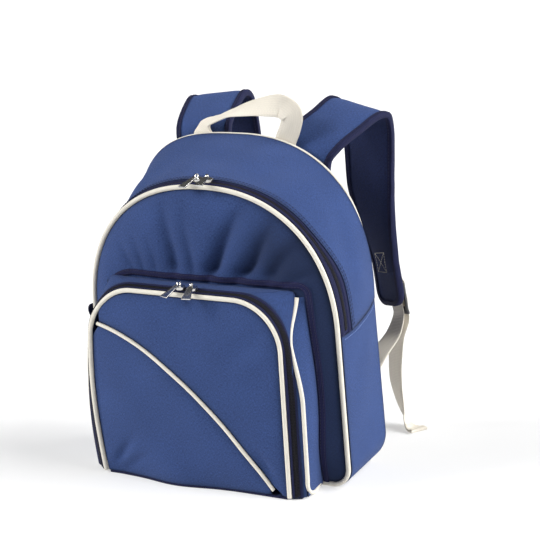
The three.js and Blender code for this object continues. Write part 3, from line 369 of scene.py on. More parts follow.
# %% Small helpers
def smooth(start, end, value):
    """0 before the start, 1 past the end, and an even ease between them."""
    share = np.clip((value - start) / (end - start), 0, 1)
    return share * share * (3 - 2 * share)


def mix(a, b, share):
    return a + (b - a) * share


def unit(vectors):
    return vectors / np.linalg.norm(vectors, axis=-1, keepdims=True)


def walked(points, axis):
    """Distance walked along an axis of a grid of points."""
    steps = np.linalg.norm(np.diff(points, axis=axis), axis=-1)
    start = np.zeros_like(np.take(steps, [0], axis=axis))
    return np.cumsum(np.concatenate([start, steps], axis=axis), axis=axis)


def carried(stops, far, values):
    """Values read at stops along a line, where far is the distance walked to each row of them."""
    return np.stack([np.interp(stops, far, column) for column in values.T], axis=-1)


def only(piece):
    """Makes a piece the one that operators act on."""
    bpy.ops.object.select_all(action="DESELECT")
    piece.select_set(True)
    bpy.context.view_layer.objects.active = piece


def apply_modifier(piece, kind, **settings):
    modifier = piece.modifiers.new(kind.lower(), kind)
    for key, value in settings.items():
        setattr(modifier, key, value)
    only(piece)
    bpy.ops.object.modifier_apply(modifier=modifier.name)


print("half of an ease from 0 to 10 is at", smooth(0, 10, 5))

# %% Loft
SEAM_REACH = 5.0
SOFT_EDGE = math.radians(50)


def make_object(name, points, faces, cut):
    mesh = bpy.data.meshes.new(name)
    mesh.from_pydata((points * MM).tolist(), [], faces.tolist())
    piece = bpy.data.objects.new(name, mesh)
    bpy.context.scene.collection.objects.link(piece)
    layer = mesh.uv_layers.new(name="cut")
    corners = np.zeros(len(mesh.loops), dtype=np.int32)
    mesh.loops.foreach_get("vertex_index", corners)
    layer.data.foreach_set("uv", (cut[corners] * MM).astype(np.float32).ravel())
    return piece


def grid_faces(columns, rows):
    i, j = np.meshgrid(np.arange(columns), np.arange(rows), indexing="ij")
    a = (i * (rows + 1) + j).ravel()
    return np.stack([a, a + rows + 1, a + rows + 2, a + 1], axis=1)


def loft(name, columns, rows, place, toward, thick, cut=None, sewn_ends=False):
    """A cloth wall whose outer face is place(u, v), with that face turned toward a direction."""
    u, v = np.meshgrid(np.linspace(0, 1, columns + 1), np.linspace(0, 1, rows + 1), indexing="ij")
    points = place(u, v)
    along, across = walked(points, 0), walked(points, 1)
    rim = across[:, -1:] - across
    is_cap = np.allclose(points[:, 0], points[0, 0])
    near = rim if is_cap else np.minimum(across, rim)
    if sewn_ends:
        near = np.minimum(near, np.minimum(along, along[-1:] - along))
    seam = np.exp(-near / SEAM_REACH).ravel()
    flat = points.reshape(-1, 3)
    map_points = np.stack([along, across], axis=-1).reshape(-1, 2) if cut is None else flat[:, cut]
    faces = grid_faces(columns, rows)
    a, b, c = (points[columns // 2 + i, rows // 2 + j] for i, j in ((0, 0), (1, 0), (0, 1)))
    if np.dot(np.cross(b - a, c - a), toward) < 0:
        faces = faces[:, ::-1]
    piece = make_object(name, flat, faces, map_points)
    mark = piece.data.attributes.new("seam", "FLOAT", "POINT")
    mark.data.foreach_set("value", seam.astype(np.float32))
    only(piece)
    bpy.ops.object.mode_set(mode="EDIT")
    bpy.ops.mesh.select_all(action="SELECT")
    bpy.ops.mesh.remove_doubles(threshold=2e-6)
    bpy.ops.object.mode_set(mode="OBJECT")
    apply_modifier(piece, "SOLIDIFY", thickness=thick * MM, offset=-1.0)
    bpy.ops.object.shade_smooth_by_angle(angle=SOFT_EDGE)
    return piece


print("cloth is marked within about", SEAM_REACH, "mm of a seam")

# %% Sweep
def swept(name, stations, closed=False):
    """A solid through like sections: stations[i, j] is point j of section i."""
    count, size, _ = stations.shape
    ring = np.concatenate([stations, stations[:, :1]], axis=1)
    across, along = walked(ring, 1), walked(ring, 0)
    i, j = np.meshgrid(np.arange(count if closed else count - 1), np.arange(size), indexing="ij")
    i, j = i.ravel(), j.ravel()
    after, beside = (i + 1) % count, (j + 1) % size
    faces = np.stack([i * size + j, i * size + beside, after * size + beside, after * size + j], axis=1)
    cut = np.stack([along[:, :size], across[:, :size]], axis=-1).reshape(-1, 2)
    piece = make_object(name, stations.reshape(-1, 3), faces, cut)
    mesh = bmesh.new()
    mesh.from_mesh(piece.data)
    if not closed:
        bmesh.ops.holes_fill(mesh, edges=mesh.edges, sides=0)
    bmesh.ops.recalc_face_normals(mesh, faces=mesh.faces)
    mesh.to_mesh(piece.data)
    mesh.free()
    only(piece)
    bpy.ops.object.shade_smooth_by_angle(angle=SOFT_EDGE)
    return piece


# No cord here starts out along this way, so its first side can be taken square to it.
ANY_WAY = (0.31, 0.83, 0.47)


def tube(name, line, radius, sides=14, closed=False):
    """A round cord along a line of points, with its frames carried along without twist."""
    line = np.asarray(line, dtype=float)
    way = np.roll(line, -1, axis=0) - np.roll(line, 1, axis=0)
    if not closed:
        way[0], way[-1] = line[1] - line[0], line[-1] - line[-2]
    way = unit(way)
    side = np.cross(way[0], ANY_WAY)
    angles = np.linspace(0, 2 * np.pi, sides, endpoint=False)
    stations = []
    for centre, direction in zip(line, way):
        side = side - direction * np.dot(side, direction)
        side /= np.linalg.norm(side)
        other = np.cross(direction, side)
        ring = np.cos(angles)[:, None] * side + np.sin(angles)[:, None] * other
        stations.append(centre + radius * ring)
    return swept(name, np.array(stations), closed)


print("lofts and sweeps ready")

# %% [markdown]
# ## Dressing a piece
# A finished piece takes its materials, rides on the bag's own body and hides the imported nodes it stands
# for. Every piece but the sliders and pulls needs the same few calls, so one function makes them.


def dress(piece, finishes, nodes=()):
    """Gives a piece its finishes, sets it on the bag's body, and hides the nodes it stands for."""
    for finish in finishes if isinstance(finishes, list) else [finishes]:
        piece.data.materials.append(finish)
    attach(piece, "root")
    if nodes:
        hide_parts(*nodes)
    return piece


print("dress ready")

# %% [markdown]
# ## The main compartment's lines
# Both panels have the same kind of outline: a flat foot, rounded corners, sides and a superellipse dome.
# They could be drawn as curves, but one formula for both lets panel, zip, gusset and piping meet.
# The back's top leans a little to the left, and its left shoulder stands fuller than its right one.

# %% Outlines
PIPING = 2.5
GAP = 0.3
DEPTH = 82
LEAN = 0.08
FRONT = {"foot": 151, "half": 149.5, "spring": 165, "rise": 151, "power": 2.25, "corner": 22}
BACK = {"foot": 151, "half": 141.5, "spring": 182, "rise": 169, "power": 2.5, "corner": 36,
        "left_half": 150.5, "left_power": 2.85, "skew": 18}
FOOT_SHARE, CORNER_SHARE, SIDE_SHARE = 6 / 60, 9 / 60, 16 / 60
PANEL_INSET = 2 * PIPING + GAP


def outline(shape, t, inset=0.0):
    """x and z once round a panel: t is 0 at the foot's middle and 0.5 at the top."""
    k = np.minimum(t, 1 - t)
    corner = np.maximum(shape["corner"] - inset, 3)
    half = shape["foot"] - inset
    bend = np.clip((k - FOOT_SHARE) / (CORNER_SHARE - FOOT_SHARE), 0, 1) * np.pi / 2
    side = (k - CORNER_SHARE) / (SIDE_SHARE - CORNER_SHARE)
    dome = np.clip((k - SIDE_SHARE) / (0.5 - SIDE_SHARE), 0, 1) * np.pi / 2
    where = [k <= FOOT_SHARE, k <= CORNER_SHARE, k <= SIDE_SHARE]
    round_share = 2 / np.where(t <= 0.5, shape["power"], shape.get("left_power", shape["power"]))
    spring_half = np.where(t <= 0.5, shape["half"], shape.get("left_half", shape["half"])) - inset
    x = np.select(where, [
        (half - corner) * k / FOOT_SHARE,
        half - corner + corner * np.sin(bend),
        mix(half, spring_half, side),
    ], spring_half * np.maximum(np.cos(dome), 0) ** round_share)
    z = np.select(where, [
        inset + 0 * k,
        inset + corner - corner * np.cos(bend),
        mix(inset + corner, shape["spring"], side),
    ], shape["spring"] + (shape["rise"] - inset) * np.sin(dome) ** round_share)
    climb = np.maximum(z - shape["spring"], 0) / shape["rise"]
    return np.where(t <= 0.5, x, -x) - shape.get("skew", 0) * climb ** 2, z


def front_plane(z):
    return -DEPTH / 2 - LEAN * z


def outward(t):
    """The way out of the gusset, square to the front outline."""
    step = 1e-3
    ahead, behind = outline(FRONT, np.minimum(t + step, 1)), outline(FRONT, np.maximum(t - step, 0))
    way = np.stack([ahead[1] - behind[1], 0 * t, behind[0] - ahead[0]], axis=-1)
    return unit(way)


print("front outline top", outline(FRONT, np.array(0.5)), "CAD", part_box("main_piping")[1] / MM)

# %% [markdown]
# ## The gusset's face
# The gusset is the strip of cloth round the bag, between the two panels. It joins the same place on both
# outlines, swells a little between its seams, and carries slow waves. A straight bridge from outline to
# outline would be simpler, but it looks like card.

# %% Gusset face
ZIP_BAND = {"side": 23, "top": 12.5, "from": 0.3, "to": 0.38}
SWELL = 3.0
FLARE = 1.5
WAVE_SHARE = 1.3
ROUND_LENGTH = 1300
WAVES = [
    {"along": 0.048, "across": 0.021, "turn": 0.4, "height": 0.9},
    {"along": 0.027, "across": -0.052, "turn": 2.1, "height": 0.7},
    {"along": 0.083, "across": 0.047, "turn": 4.0, "height": 0.45},
    {"along": -0.061, "across": 0.095, "turn": 1.2, "height": 0.3},
]


def gusset_line(t):
    """The same place on the front and on the back outline."""
    (x, z), (far_x, far_z) = outline(FRONT, t), outline(BACK, t)
    return np.stack([x, front_plane(z), z], axis=-1), np.stack([far_x, DEPTH / 2 + 0 * t, far_z], axis=-1)


def gusset_depth(t):
    near, far = gusset_line(t)
    return np.linalg.norm(far - near, axis=-1)


def zip_width(t):
    """The main zip's width, less over the dome than down the sides."""
    high = smooth(ZIP_BAND["from"], ZIP_BAND["to"], np.minimum(t, 1 - t))
    return mix(ZIP_BAND["side"], ZIP_BAND["top"], high)


def undulate(a, b, turn=0.0):
    """Slow waves, as cloth has that is filled but not tight."""
    return sum(w["height"] * np.sin(w["along"] * a + w["across"] * b + w["turn"] + turn) for w in WAVES)


def gusset_face(t, share, lift=0.0):
    """A place on the gusset, at a share of its depth and lifted off the cloth."""
    near, far = gusset_line(t)
    k = np.minimum(t, 1 - t)
    high = smooth(CORNER_SHARE, SIDE_SHARE, k)
    belly = np.sin(np.pi * np.clip(share, 0, 1))
    waves = undulate(ROUND_LENGTH * t, share * gusset_depth(t)) * belly
    rise = (SWELL + WAVE_SHARE * waves) * high * belly + lift
    climb = np.maximum(share, 0) ** mix(1, FLARE, high)
    place = mix(near, far, climb[..., None])
    place[..., 1] = mix(near[..., 1], far[..., 1], share)
    return place + outward(t) * rise[..., None]


print("gusset depth at the top", gusset_depth(np.array([0.5])), "mm")

# %% [markdown]
# ## The front panel
# The panel is stuffed, so it swells past its piping, and it is drawn in where the pocket is sewn on:
# folds rise from the pocket's top and run out toward the dome. The panel is a cap in rings round its
# middle, which the pocket hides, and each fold is a valley along its own line. Shade is painted into the
# cloth by a mark of how deep each point lies in a fold. Low on the right, where the cloth stays in shade,
# the same mark paints a given patch of shadow: it is painted shade there, not depth.
# A cloth simulation would make folds as well, but not in chosen places.

# %% Front panel
WALL = 2.0
BULGE = 18
FOOT_FADE = 60
FRONT_POLE = 158
FOLDS = [
    {"line": [(-79, 216), (-93, 241), (-108, 262)], "depth": 3.0, "width": 6},
    {"line": [(-66, 216), (-73, 238), (-82, 264)], "depth": 3.0, "width": 5},
    {"line": [(-50, 216), (-56, 241), (-62, 262)], "depth": 2.5, "width": 5},
    {"line": [(-28, 216), (-32, 245), (-40, 281), (-46, 316)], "depth": 8.0, "width": 8},
    {"line": [(-7, 216), (-10, 240), (-16, 272), (-14, 308)], "depth": 5.0, "width": 7},
    {"line": [(9, 216), (20, 240), (30, 262), (56, 308)], "depth": 15.0, "width": 9},
    {"line": [(41, 216), (59, 237), (67, 251), (94, 302)], "depth": 15.0, "width": 10},
    {"line": [(77, 216), (87, 234), (97, 247), (124, 272)], "depth": 12.0, "width": 12},
    {"line": [(92, 216), (119, 230), (138, 244)], "depth": 8.0, "width": 9},
]
FOLD_START = {"low": 219, "high": 231, "least": 0.22}
FOLD_SPREAD = 0.4
FOLD_SHARPNESS = 3.2
FOLD_SHADE = 24
FOLDS_FROM = (120, 200)
# A given patch of painted shadow low on the panel's right, and how dark it is painted.
PAINTED_SHADOW_PATCH = {"x": (25, 115), "z": (250, 320), "tone": 0.95}


def front_fill(x, z):
    """How full the panel is: none at its rim, and all of it in its middle."""
    half = mix(FRONT["foot"], FRONT["half"], np.minimum(z / FRONT["spring"], 1)) - PANEL_INSET
    up = np.maximum(z - FRONT["spring"], 0) / (FRONT["rise"] - PANEL_INSET)
    rim = np.minimum((np.abs(x) / half) ** FRONT["power"] + up ** FRONT["power"], 1)
    foot = 1 - (1 - np.clip((z - PANEL_INSET) / FOOT_FADE, 0, 1)) ** 2
    return (1 - rim ** 3) * foot


def fold_depth(x, z):
    """How far the folds sink into the panel."""
    fold = 0
    for row in FOLDS:
        middle_x, height = np.array(row["line"], float).T
        rise = np.clip((z - height[0]) / (height[-1] - height[0]), 0, 1)
        away = (x - np.interp(z, height, middle_x)) / (row["width"] * (1 + FOLD_SPREAD * rise))
        valley = np.exp(1 - np.sqrt(1 + FOLD_SHARPNESS * away * away))
        fold = fold + row["depth"] * (1 - rise) ** 0.5 * valley
    start = mix(FOLD_START["least"], 1.0, smooth(FOLD_START["low"], FOLD_START["high"], z))
    return fold * start * smooth(*FOLDS_FROM, z)


def main_face(x, z):
    """The y of the front panel's outer face."""
    fill = front_fill(x, z)
    sunk = fold_depth(x, z) + 0.9 * undulate(x, z, 1.0)
    return front_plane(z) - PIPING - GAP + (sunk - BULGE) * fill


def rings(share):
    """Crowds the rings of a cap toward its rim."""
    return 1 - (1 - share) ** 1.4


def front_panel(u, v):
    x, z = outline(FRONT, u, PANEL_INSET)
    x, z = x * rings(v), mix(FRONT_POLE, z, rings(v))
    return np.stack([x, main_face(x, z), z], axis=-1)


panel = loft("main_front_panel", 300, 70, front_panel, (0, -1, 0), WALL, cut=[0, 2])
dress(panel, blue_cloth, ["main_front_panel"])
spots = np.array([vertex.co for vertex in panel.data.vertices]) / MM
# Painted shade: the depth of each fold and a given patch low on the right darken the cloth through this
# attribute.
painted_shadow_patch = smooth(*PAINTED_SHADOW_PATCH["x"], spots[:, 0]) * (1 - smooth(*PAINTED_SHADOW_PATCH["z"], spots[:, 2]))
painted_shade = np.clip(fold_depth(spots[:, 0], spots[:, 2]) / FOLD_SHADE + PAINTED_SHADOW_PATCH["tone"] * painted_shadow_patch, 0, 1)
mark = panel.data.attributes.new("painted_shade", "FLOAT", "POINT")
mark.data.foreach_set("value", painted_shade.astype(np.float32))
print("front panel", len(panel.data.polygons), "faces")

# %% [markdown]
# ## Gusset, zip band and back
# The gusset is one long strip. Its upper part is split by the zip, whose tapes and coil lie in a
# shallow trough, with the blue cloth turned under along the rear tape. The back panel is a plain
# padded sheet. Each could be a bent plane, but as lofts on the same outlines they meet at every seam.

# %% Gusset and back
START = SIDE_SHARE + 0.0002
ZIP_TAPE = 1.4
BACK_PIPING = 2.0
BACK_WALL = 2.5
BACK_POLE = 175


def band_profile(v):
    """Height of the zip's tapes over the band, from the piping to the cloth."""
    trough = smooth(0.28, 0.36, v) * (1 - smooth(0.66, 0.74, v))
    return 0.9 * smooth(0.01, 0.08, v) - 1.4 * trough


def zip_face(u, v):
    t = mix(START, 1 - START, u)
    return gusset_face(t, zip_width(t) * v / gusset_depth(t), band_profile(v) - 0.4)


def upper_face(u, v):
    t = mix(START, 1 - START, u)
    depth = gusset_depth(t)
    start = (zip_width(t) - 1.5) / depth
    hem = 1.5 * np.exp(-v * depth / 5) + 0.5 * np.exp(-(1 - v) * depth / 4)
    return gusset_face(t, mix(start, 1.0, v), hem)


def lower_face(u, v):
    t = (mix(-SIDE_SHARE, SIDE_SHARE, u) + 1) % 1
    return gusset_face(t, v)


zip_band = loft("main_zip", 300, 26, zip_face, (0, 0, 1), ZIP_TAPE)
dress(zip_band, navy_tape, ["main_zip"])
upper = loft("main_gusset_upper", 260, 40, upper_face, (0, 0, 1), WALL, sewn_ends=True)
dress(upper, blue_cloth, ["main_gusset_upper"])
lower = loft("main_gusset_lower", 260, 40, lower_face, (0, 0, -1), WALL, sewn_ends=True)
dress(lower, blue_cloth, ["main_gusset_lower"])


def proud(t):
    """How far the back piping's middle lies inside the back outline."""
    return mix(BACK_PIPING + 2.4, 0.6, smooth(0.29, 0.37, np.minimum(t, 1 - t)))


def back_face(u, v):
    x, z = outline(BACK, u, proud(u) + BACK_PIPING + GAP)
    puff = 2.0 * (1 - v ** 6)
    return np.stack([x * v, DEPTH / 2 + 2.2 + puff, mix(BACK_POLE, z, v)], axis=-1)


back = loft("back_panel", 200, 30, back_face, (0, 1, 0), BACK_WALL, cut=[0, 2])
dress(back, navy_cloth, ["back_panel"])
print("gusset and back ready")

# %% [markdown]
# ## Piping
# Piping is a cord in a cream cover, caught in the seam. A curve with a bevel would do, but a swept tube
# carries the cut's map, so the cover's little pulls follow its length.

# %% Main piping
ROUND = np.linspace(0, 1, 361)[:-1]


def front_pipe_line():
    x, z = outline(FRONT, ROUND, PIPING + 0.2)
    return np.stack([x, front_plane(z) - PIPING - GAP, z], axis=-1)


def back_pipe_line():
    x, z = outline(BACK, ROUND, proud(ROUND))
    return np.stack([x, DEPTH / 2 + GAP + BACK_PIPING + 0 * x, z], axis=-1)


front_pipe = tube("main_piping", front_pipe_line(), PIPING, closed=True)
dress(front_pipe, cream_piping, ["main_piping"])
back_pipe = tube("back_piping", back_pipe_line(), BACK_PIPING, closed=True)
dress(back_pipe, cream_piping, ["back_piping"])
print("main and back piping ready")

# %% [markdown]
# ## Zip coils and stitches
# A coil zip is two nylon spirals that lock in each other, and a seam is a row of short threads. Both
# repeat hundreds of times, so one small shape is placed along a line by array sums, in one mesh.

# %% Rods
SPINDLE = [(-1.0, 0.35), (-0.6, 1.0), (0.6, 1.0), (1.0, 0.35)]
ROD_SIDES = 5
ROD_FLATNESS = 0.75


def rod_faces():
    """The faces of one rod: its sides, ring by ring, and its two ends."""
    faces = []
    for ring in range(len(SPINDLE) - 1):
        low, high = ring * ROD_SIDES, (ring + 1) * ROD_SIDES
        for k in range(ROD_SIDES):
            beside = (k + 1) % ROD_SIDES
            faces.append([low + k, low + beside, high + beside, high + k])
    last = (len(SPINDLE) - 1) * ROD_SIDES
    return faces + [list(range(ROD_SIDES))[::-1], list(range(last, last + ROD_SIDES))]


def spindles(name, centres, ways, ups, half_length, radius):
    """Many short rounded rods, each at a centre, along a way and flattened along an up."""
    ways = unit(ways)
    ups = unit(ups - ways * np.sum(ups * ways, axis=1, keepdims=True))
    sides_way = np.cross(ways, ups)
    angles = np.linspace(0, 2 * np.pi, ROD_SIDES, endpoint=False)
    rows = []
    for place, width in SPINDLE:
        for angle in angles:
            rows.append(centres + ways * place * half_length + radius * width * (
                np.cos(angle) * sides_way + ROD_FLATNESS * np.sin(angle) * ups))
    points = np.stack(rows, axis=1)
    size = len(SPINDLE) * ROD_SIDES
    one = rod_faces()
    faces = [[size * n + i for i in face] for n in range(len(centres)) for face in one]
    mesh = bpy.data.meshes.new(name)
    mesh.from_pydata((points.reshape(-1, 3) * MM).tolist(), [], faces)
    piece = bpy.data.objects.new(name, mesh)
    bpy.context.scene.collection.objects.link(piece)
    only(piece)
    bpy.ops.object.mode_set(mode="EDIT")
    bpy.ops.mesh.select_all(action="SELECT")
    bpy.ops.mesh.normals_make_consistent(inside=False)
    bpy.ops.object.mode_set(mode="OBJECT")
    bpy.ops.object.shade_smooth()
    return piece


print("a rod has", len(rod_faces()), "faces")

# %% Stitches and coils
NEAR_BY = 0.4
COIL_PITCH = 1.6
COIL_REACH = 1.9
COIL_WIRE = 0.66
COIL_SHIFT = 0.62


def stitch_rows(name, rows, finish, pitch=4.0, length=2.9, radius=0.42):
    """Rows of stitches: each row is a line of points and the way up from the cloth there."""
    centres, ways, ups = [], [], []
    for line, up in rows:
        far = walked(line, 0)
        stops = np.arange(pitch / 2, far[-1], pitch)
        centres.append(carried(stops, far, line))
        ways.append(carried(stops + NEAR_BY, far, line) - carried(stops - NEAR_BY, far, line))
        ups.append(carried(stops, far, np.broadcast_to(up, line.shape)))
    parts = (np.concatenate(part) for part in (centres, ways, ups))
    return dress(spindles(name, *parts, length / 2, radius), finish)


def coil(name, line, across, up):
    """Two rows of teeth that lock in each other along a line."""
    centres, ways, ups = [], [], []
    far = walked(line, 0)
    for side, start in ((-1, COIL_PITCH / 2), (1, COIL_PITCH)):
        stops = np.arange(start, far[-1] - COIL_PITCH / 2, COIL_PITCH)
        way = carried(stops, far, across)
        centres.append(carried(stops, far, line) + way * side * COIL_REACH * COIL_SHIFT)
        ways.append(way)
        ups.append(carried(stops, far, up))
    parts = (np.concatenate(part) for part in (centres, ways, ups))
    return dress(spindles(name, *parts, COIL_REACH, COIL_WIRE), coil_nylon)


print("stitches and coils ready")

# %% [markdown]
# ## The main zip's coil and seams
# The coil lies in the trough between the tapes. One row of stitches holds the front tape, two rows hold
# the turned edge of the cloth behind, and each side seam has its own row. They could be drawn in a finish,
# but real threads catch the light and throw a small shadow.

# %% Main coil and stitches
ALONG_ZIP = mix(START + 0.002, 1 - START - 0.002, np.linspace(0, 1, 500))
COIL_SHARE = 0.51


def on_gusset(band_share, lift, past=0.0):
    """A line along the zip, at a share of its width and a distance past that."""
    distance = band_share * zip_width(ALONG_ZIP) + past
    return gusset_face(ALONG_ZIP, distance / gusset_depth(ALONG_ZIP), lift)


middle = on_gusset(COIL_SHARE, -0.5)
coil_side = unit(on_gusset(COIL_SHARE, 0, 1.0) - on_gusset(COIL_SHARE, 0, -1.0))
main_coil = coil("main_coil", middle, coil_side, outward(ALONG_ZIP))
TAPE_ROWS = [(on_gusset(0.2, 0.55), outward(ALONG_ZIP))]
HEM_ROWS = [(on_gusset(1.0, 1.35, past), outward(ALONG_ZIP)) for past in (1.4, 5.2)]
stitch_rows("main_tape_stitches", TAPE_ROWS, navy_thread)
stitch_rows("main_hem_stitches", HEM_ROWS, navy_thread)


def side_seam_row(sign):
    """Stitches along the seam between the upper and lower gusset."""
    t = np.full(60, SIDE_SHARE - 0.0035)
    t = t if sign > 0 else 1 - t
    share = np.linspace(0.06, 0.96, 60)
    return gusset_face(t, share, 0.12), outward(t)


stitch_rows("side_seam_stitches", [side_seam_row(1), side_seam_row(-1)], blue_thread, pitch=3.6)
print("coil", len(main_coil.data.polygons), "faces")

# %% [markdown]
# ## The front pocket's lines
# The pocket is boxy: three inverted U lines lie one behind the other, the piping round its face, the
# edge of its zip, and the seam where its side pieces start. Curves could be drawn for them, but one
# formula with a row of sizes for each line keeps them beside each other all the way round.

# %% Pocket lines
POCKET_FOOT = 2.7
POCKET_FRONT = -98
POCKET_LEAN = 0.05
PIPE_LINE = {"left": 117, "right": 107, "top": 208.5, "corner": 52, "narrow": 0, "backs": (0, 0, 0),
             "swell": 8, "drop": 0, "pinch": 0}
ZIP_LINE = {"left": 125, "right": 119, "top": 214, "corner": 56, "narrow": 0, "backs": (13, 7, 11),
            "swell": 15, "drop": 60, "pinch": 4}
SEAM_LINE_U = {"left": 128, "right": 124, "top": 216.5, "corner": 7, "narrow": 0.11, "backs": (19, 9, None),
               "swell": 15, "drop": 60, "pinch": 12}
SWELL_TOP = 195
POCKET_SEAT = 1.2
U_SIDE, U_CORNER = 14 / 40, 18 / 40
BACK_FADE = 160
BACK_HALF, BACK_SWELL = 118, 7


def pocket_plane(z):
    return POCKET_FRONT - POCKET_LEAN * z


def u_line(line, t, grow=0.0):
    """A point on an inverted U line, from its left foot to its right foot."""
    k = np.minimum(t, 1 - t)
    left = t < 0.5
    sign = np.where(left, -1, 1)
    half = np.where(left, line["left"], line["right"]) + grow
    corner = max(line["corner"] + grow, 1)
    top = line["top"] + grow
    bend = np.clip((k - U_SIDE) / (U_CORNER - U_SIDE), 0, 1) * np.pi / 2
    level_share = (t - U_CORNER) / (1 - 2 * U_CORNER)
    where = [k <= U_SIDE, k <= U_CORNER]
    x = np.select(where, [sign * half, sign * (half - corner + corner * np.cos(bend))],
                  mix(corner - line["left"] - grow, line["right"] + grow - corner, level_share))
    z = np.select(where, [mix(POCKET_FOOT, top - corner, k / U_SIDE), top - corner + corner * np.sin(bend)],
                  top + 0 * t)
    high = smooth(BACK_FADE, line["top"], z)
    bow = np.sin(np.pi * np.clip((z + line["drop"]) / (SWELL_TOP + line["drop"]), 0, 1))
    pinch = np.minimum(x, line["pinch"] * smooth(100, 185, z))
    left_x = x * (1 - line["narrow"] * high) - line["swell"] * bow
    x = np.where(left, left_x, x - np.maximum(pinch, 0) * (k <= U_CORNER))
    left_back, right_back, top_back = line["backs"]
    top_y = main_face(x, z) - POCKET_SEAT if top_back is None else pocket_plane(z) + top_back
    side_y = pocket_plane(z) + np.where(left, left_back, right_back)
    return np.stack([x, mix(side_y, top_y, high), z], axis=-1)


def back_half(z):
    """Half the width of the pocket's join to the main panel, fuller half way up."""
    return BACK_HALF + BACK_SWELL * np.sin(np.pi * z / SEAM_LINE_U["top"])


print("pocket piping's two feet", u_line(PIPE_LINE, np.array([0.0, 1.0])).round(1).tolist())

# %% [markdown]
# ## The pocket face's swell
# The face is filled like a cushion, with soft creases where its corners are drawn in and a wave along its
# foot. It could be sculpted, but a sum of a few shapes is easy to set right against a picture.

# %% Pocket swell
PANEL_CREASES = [
    {"from": (-108, 8), "to": (-70, 52), "depth": 4.0, "width": 6},
    {"from": (-96, 6), "to": (-50, 34), "depth": 3.0, "width": 6},
    {"from": (92, 20), "to": (66, 62), "depth": 2.6, "width": 6},
    {"from": (88, 176), "to": (30, 128), "depth": 3.2, "width": 14},
    {"from": (98, 140), "to": (40, 96), "depth": 2.4, "width": 14},
    {"from": (-2, 205), "to": (-8, 168), "depth": 1.4, "width": 8},
    {"from": (40, 204), "to": (34, 176), "depth": 1.2, "width": 7},
]
POCKET_BULGE = 12
FOOT_WAVE = {"x": -25, "width": 40, "depth": 9, "height": 60}


def crease(x, z):
    """Soft creases, each a valley along a short line that fades to its ends."""
    total = 0
    for row in PANEL_CREASES:
        start, end = np.array(row["from"], float), np.array(row["to"], float)
        run = end - start
        length = np.linalg.norm(run)
        run = run / length
        along = ((x - start[0]) * run[0] + (z - start[1]) * run[1]) / length
        away = ((x - start[0]) * run[1] - (z - start[1]) * run[0]) / row["width"]
        fade = np.exp(-((along - 0.35) / 0.45) ** 2)
        total = total + row["depth"] * fade * np.exp(-away * away)
    return total


def panel_face(x, z):
    """The y of the pocket panel's outer face."""
    middle_x = (PIPE_LINE["right"] - PIPE_LINE["left"]) / 2
    half = (PIPE_LINE["right"] + PIPE_LINE["left"]) / 2
    across = 1 - np.minimum(np.abs((x - middle_x) / half), 1) ** 3
    up = 1 - np.minimum(np.abs(2 * z / PIPE_LINE["top"] - 1), 1) ** 3
    away = (x - FOOT_WAVE["x"]) / FOOT_WAVE["width"]
    wave = FOOT_WAVE["depth"] * np.exp(-away * away) * (1 - smooth(0, FOOT_WAVE["height"], z))
    loose = np.sqrt(np.maximum(across * up, 0))
    face = pocket_plane(z) - POCKET_BULGE * across * up - wave * across
    return face + crease(x, z) * np.minimum(across * 2, 1) + 0.8 * undulate(x, z, 2.6) * loose


# %% [markdown]
# ## The pocket's face
# A diagonal seam with its own piping cuts the face in two. Each half is lofted from that seam out to
# its stretch of the rim, and dips along the seam, as sewn cloth does. One sheet with the piping laid on
# it would be less work, but its seam would not sink.

# %% Pocket face
ACCENT = [(-115, 169.5), (-4, 154), (92, 4)]
ACCENT_RADIUS = 2.0


def accent(u):
    """A place on the diagonal seam, which bends once."""
    a, b, c = (np.array(p, float) for p in ACCENT)
    u = np.asarray(u)[..., None]
    return mix(mix(a, b, u), mix(b, c, u), u)


def accent_side(u, distance):
    """A place at a distance beside the diagonal seam."""
    a, b, c = (np.array(p, float) for p in ACCENT)
    way = unit(mix(b - a, c - b, np.asarray(u)[..., None]))
    return accent(u) + np.stack([-way[..., 1], way[..., 0]], axis=-1) * distance


rim = u_line(PIPE_LINE, np.linspace(0, 1, 401), -(PIPING + GAP))[:, [0, 2]]
reach = ACCENT_RADIUS + 0.2
split = int(np.argmax(rim[:, 1] > ACCENT[0][1]))
low_foot = np.linspace(rim[0], (ACCENT[2][0] - reach - 1, POCKET_FOOT), 120)[1:]
high_foot = np.linspace(rim[-1], (ACCENT[2][0] + reach + 1, POCKET_FOOT), 12)[1:]
low_rim = np.concatenate([rim[split - 6::-1], low_foot])
high_rim = np.concatenate([rim[split + 6:], high_foot])


def half_face(edge_line, side):
    """One half of the face, from the diagonal seam to its stretch of the rim."""
    far = walked(edge_line, 0)

    def place(u, v):
        edge = carried(u * far[-1], far, edge_line)
        seam = accent_side(u, side * reach)
        tip = smooth(0, 0.03, np.minimum(u, 1 - u))[..., None]
        seam = mix(edge, seam, tip)
        spot = mix(seam, edge, v[..., None])
        from_seam = np.linalg.norm(spot - seam, axis=-1)
        from_edge = np.linalg.norm(edge - spot, axis=-1)
        dip = 1.3 * np.exp(-from_seam / 4) + 0.9 * np.exp(-from_edge / 4)
        return np.stack([spot[..., 0], panel_face(spot[..., 0], spot[..., 1]) + dip, spot[..., 1]], axis=-1)

    return place


for name, line, side in (("lower", low_rim, -1), ("upper", high_rim, 1)):
    half_panel = loft(f"pocket_panel_{name}", 220, 60, half_face(line, side), (0, -1, 0), WALL, cut=[0, 2])
    dress(half_panel, blue_cloth, [f"pocket_panel_{name}"])
spot = accent(np.linspace(0.02, 0.985, 160))
accent_line = np.stack([spot[:, 0], panel_face(spot[:, 0], spot[:, 1]) + 0.2, spot[:, 1]], axis=-1)
accent_pipe = tube("pocket_accent_piping", accent_line, ACCENT_RADIUS)
dress(accent_pipe, cream_piping, ["pocket_accent_piping"])
pocket_pipe = tube("pocket_piping", u_line(PIPE_LINE, np.linspace(0, 1, 300)), PIPING)
dress(pocket_pipe, cream_piping, ["pocket_piping"])
print("pocket face and piping ready")

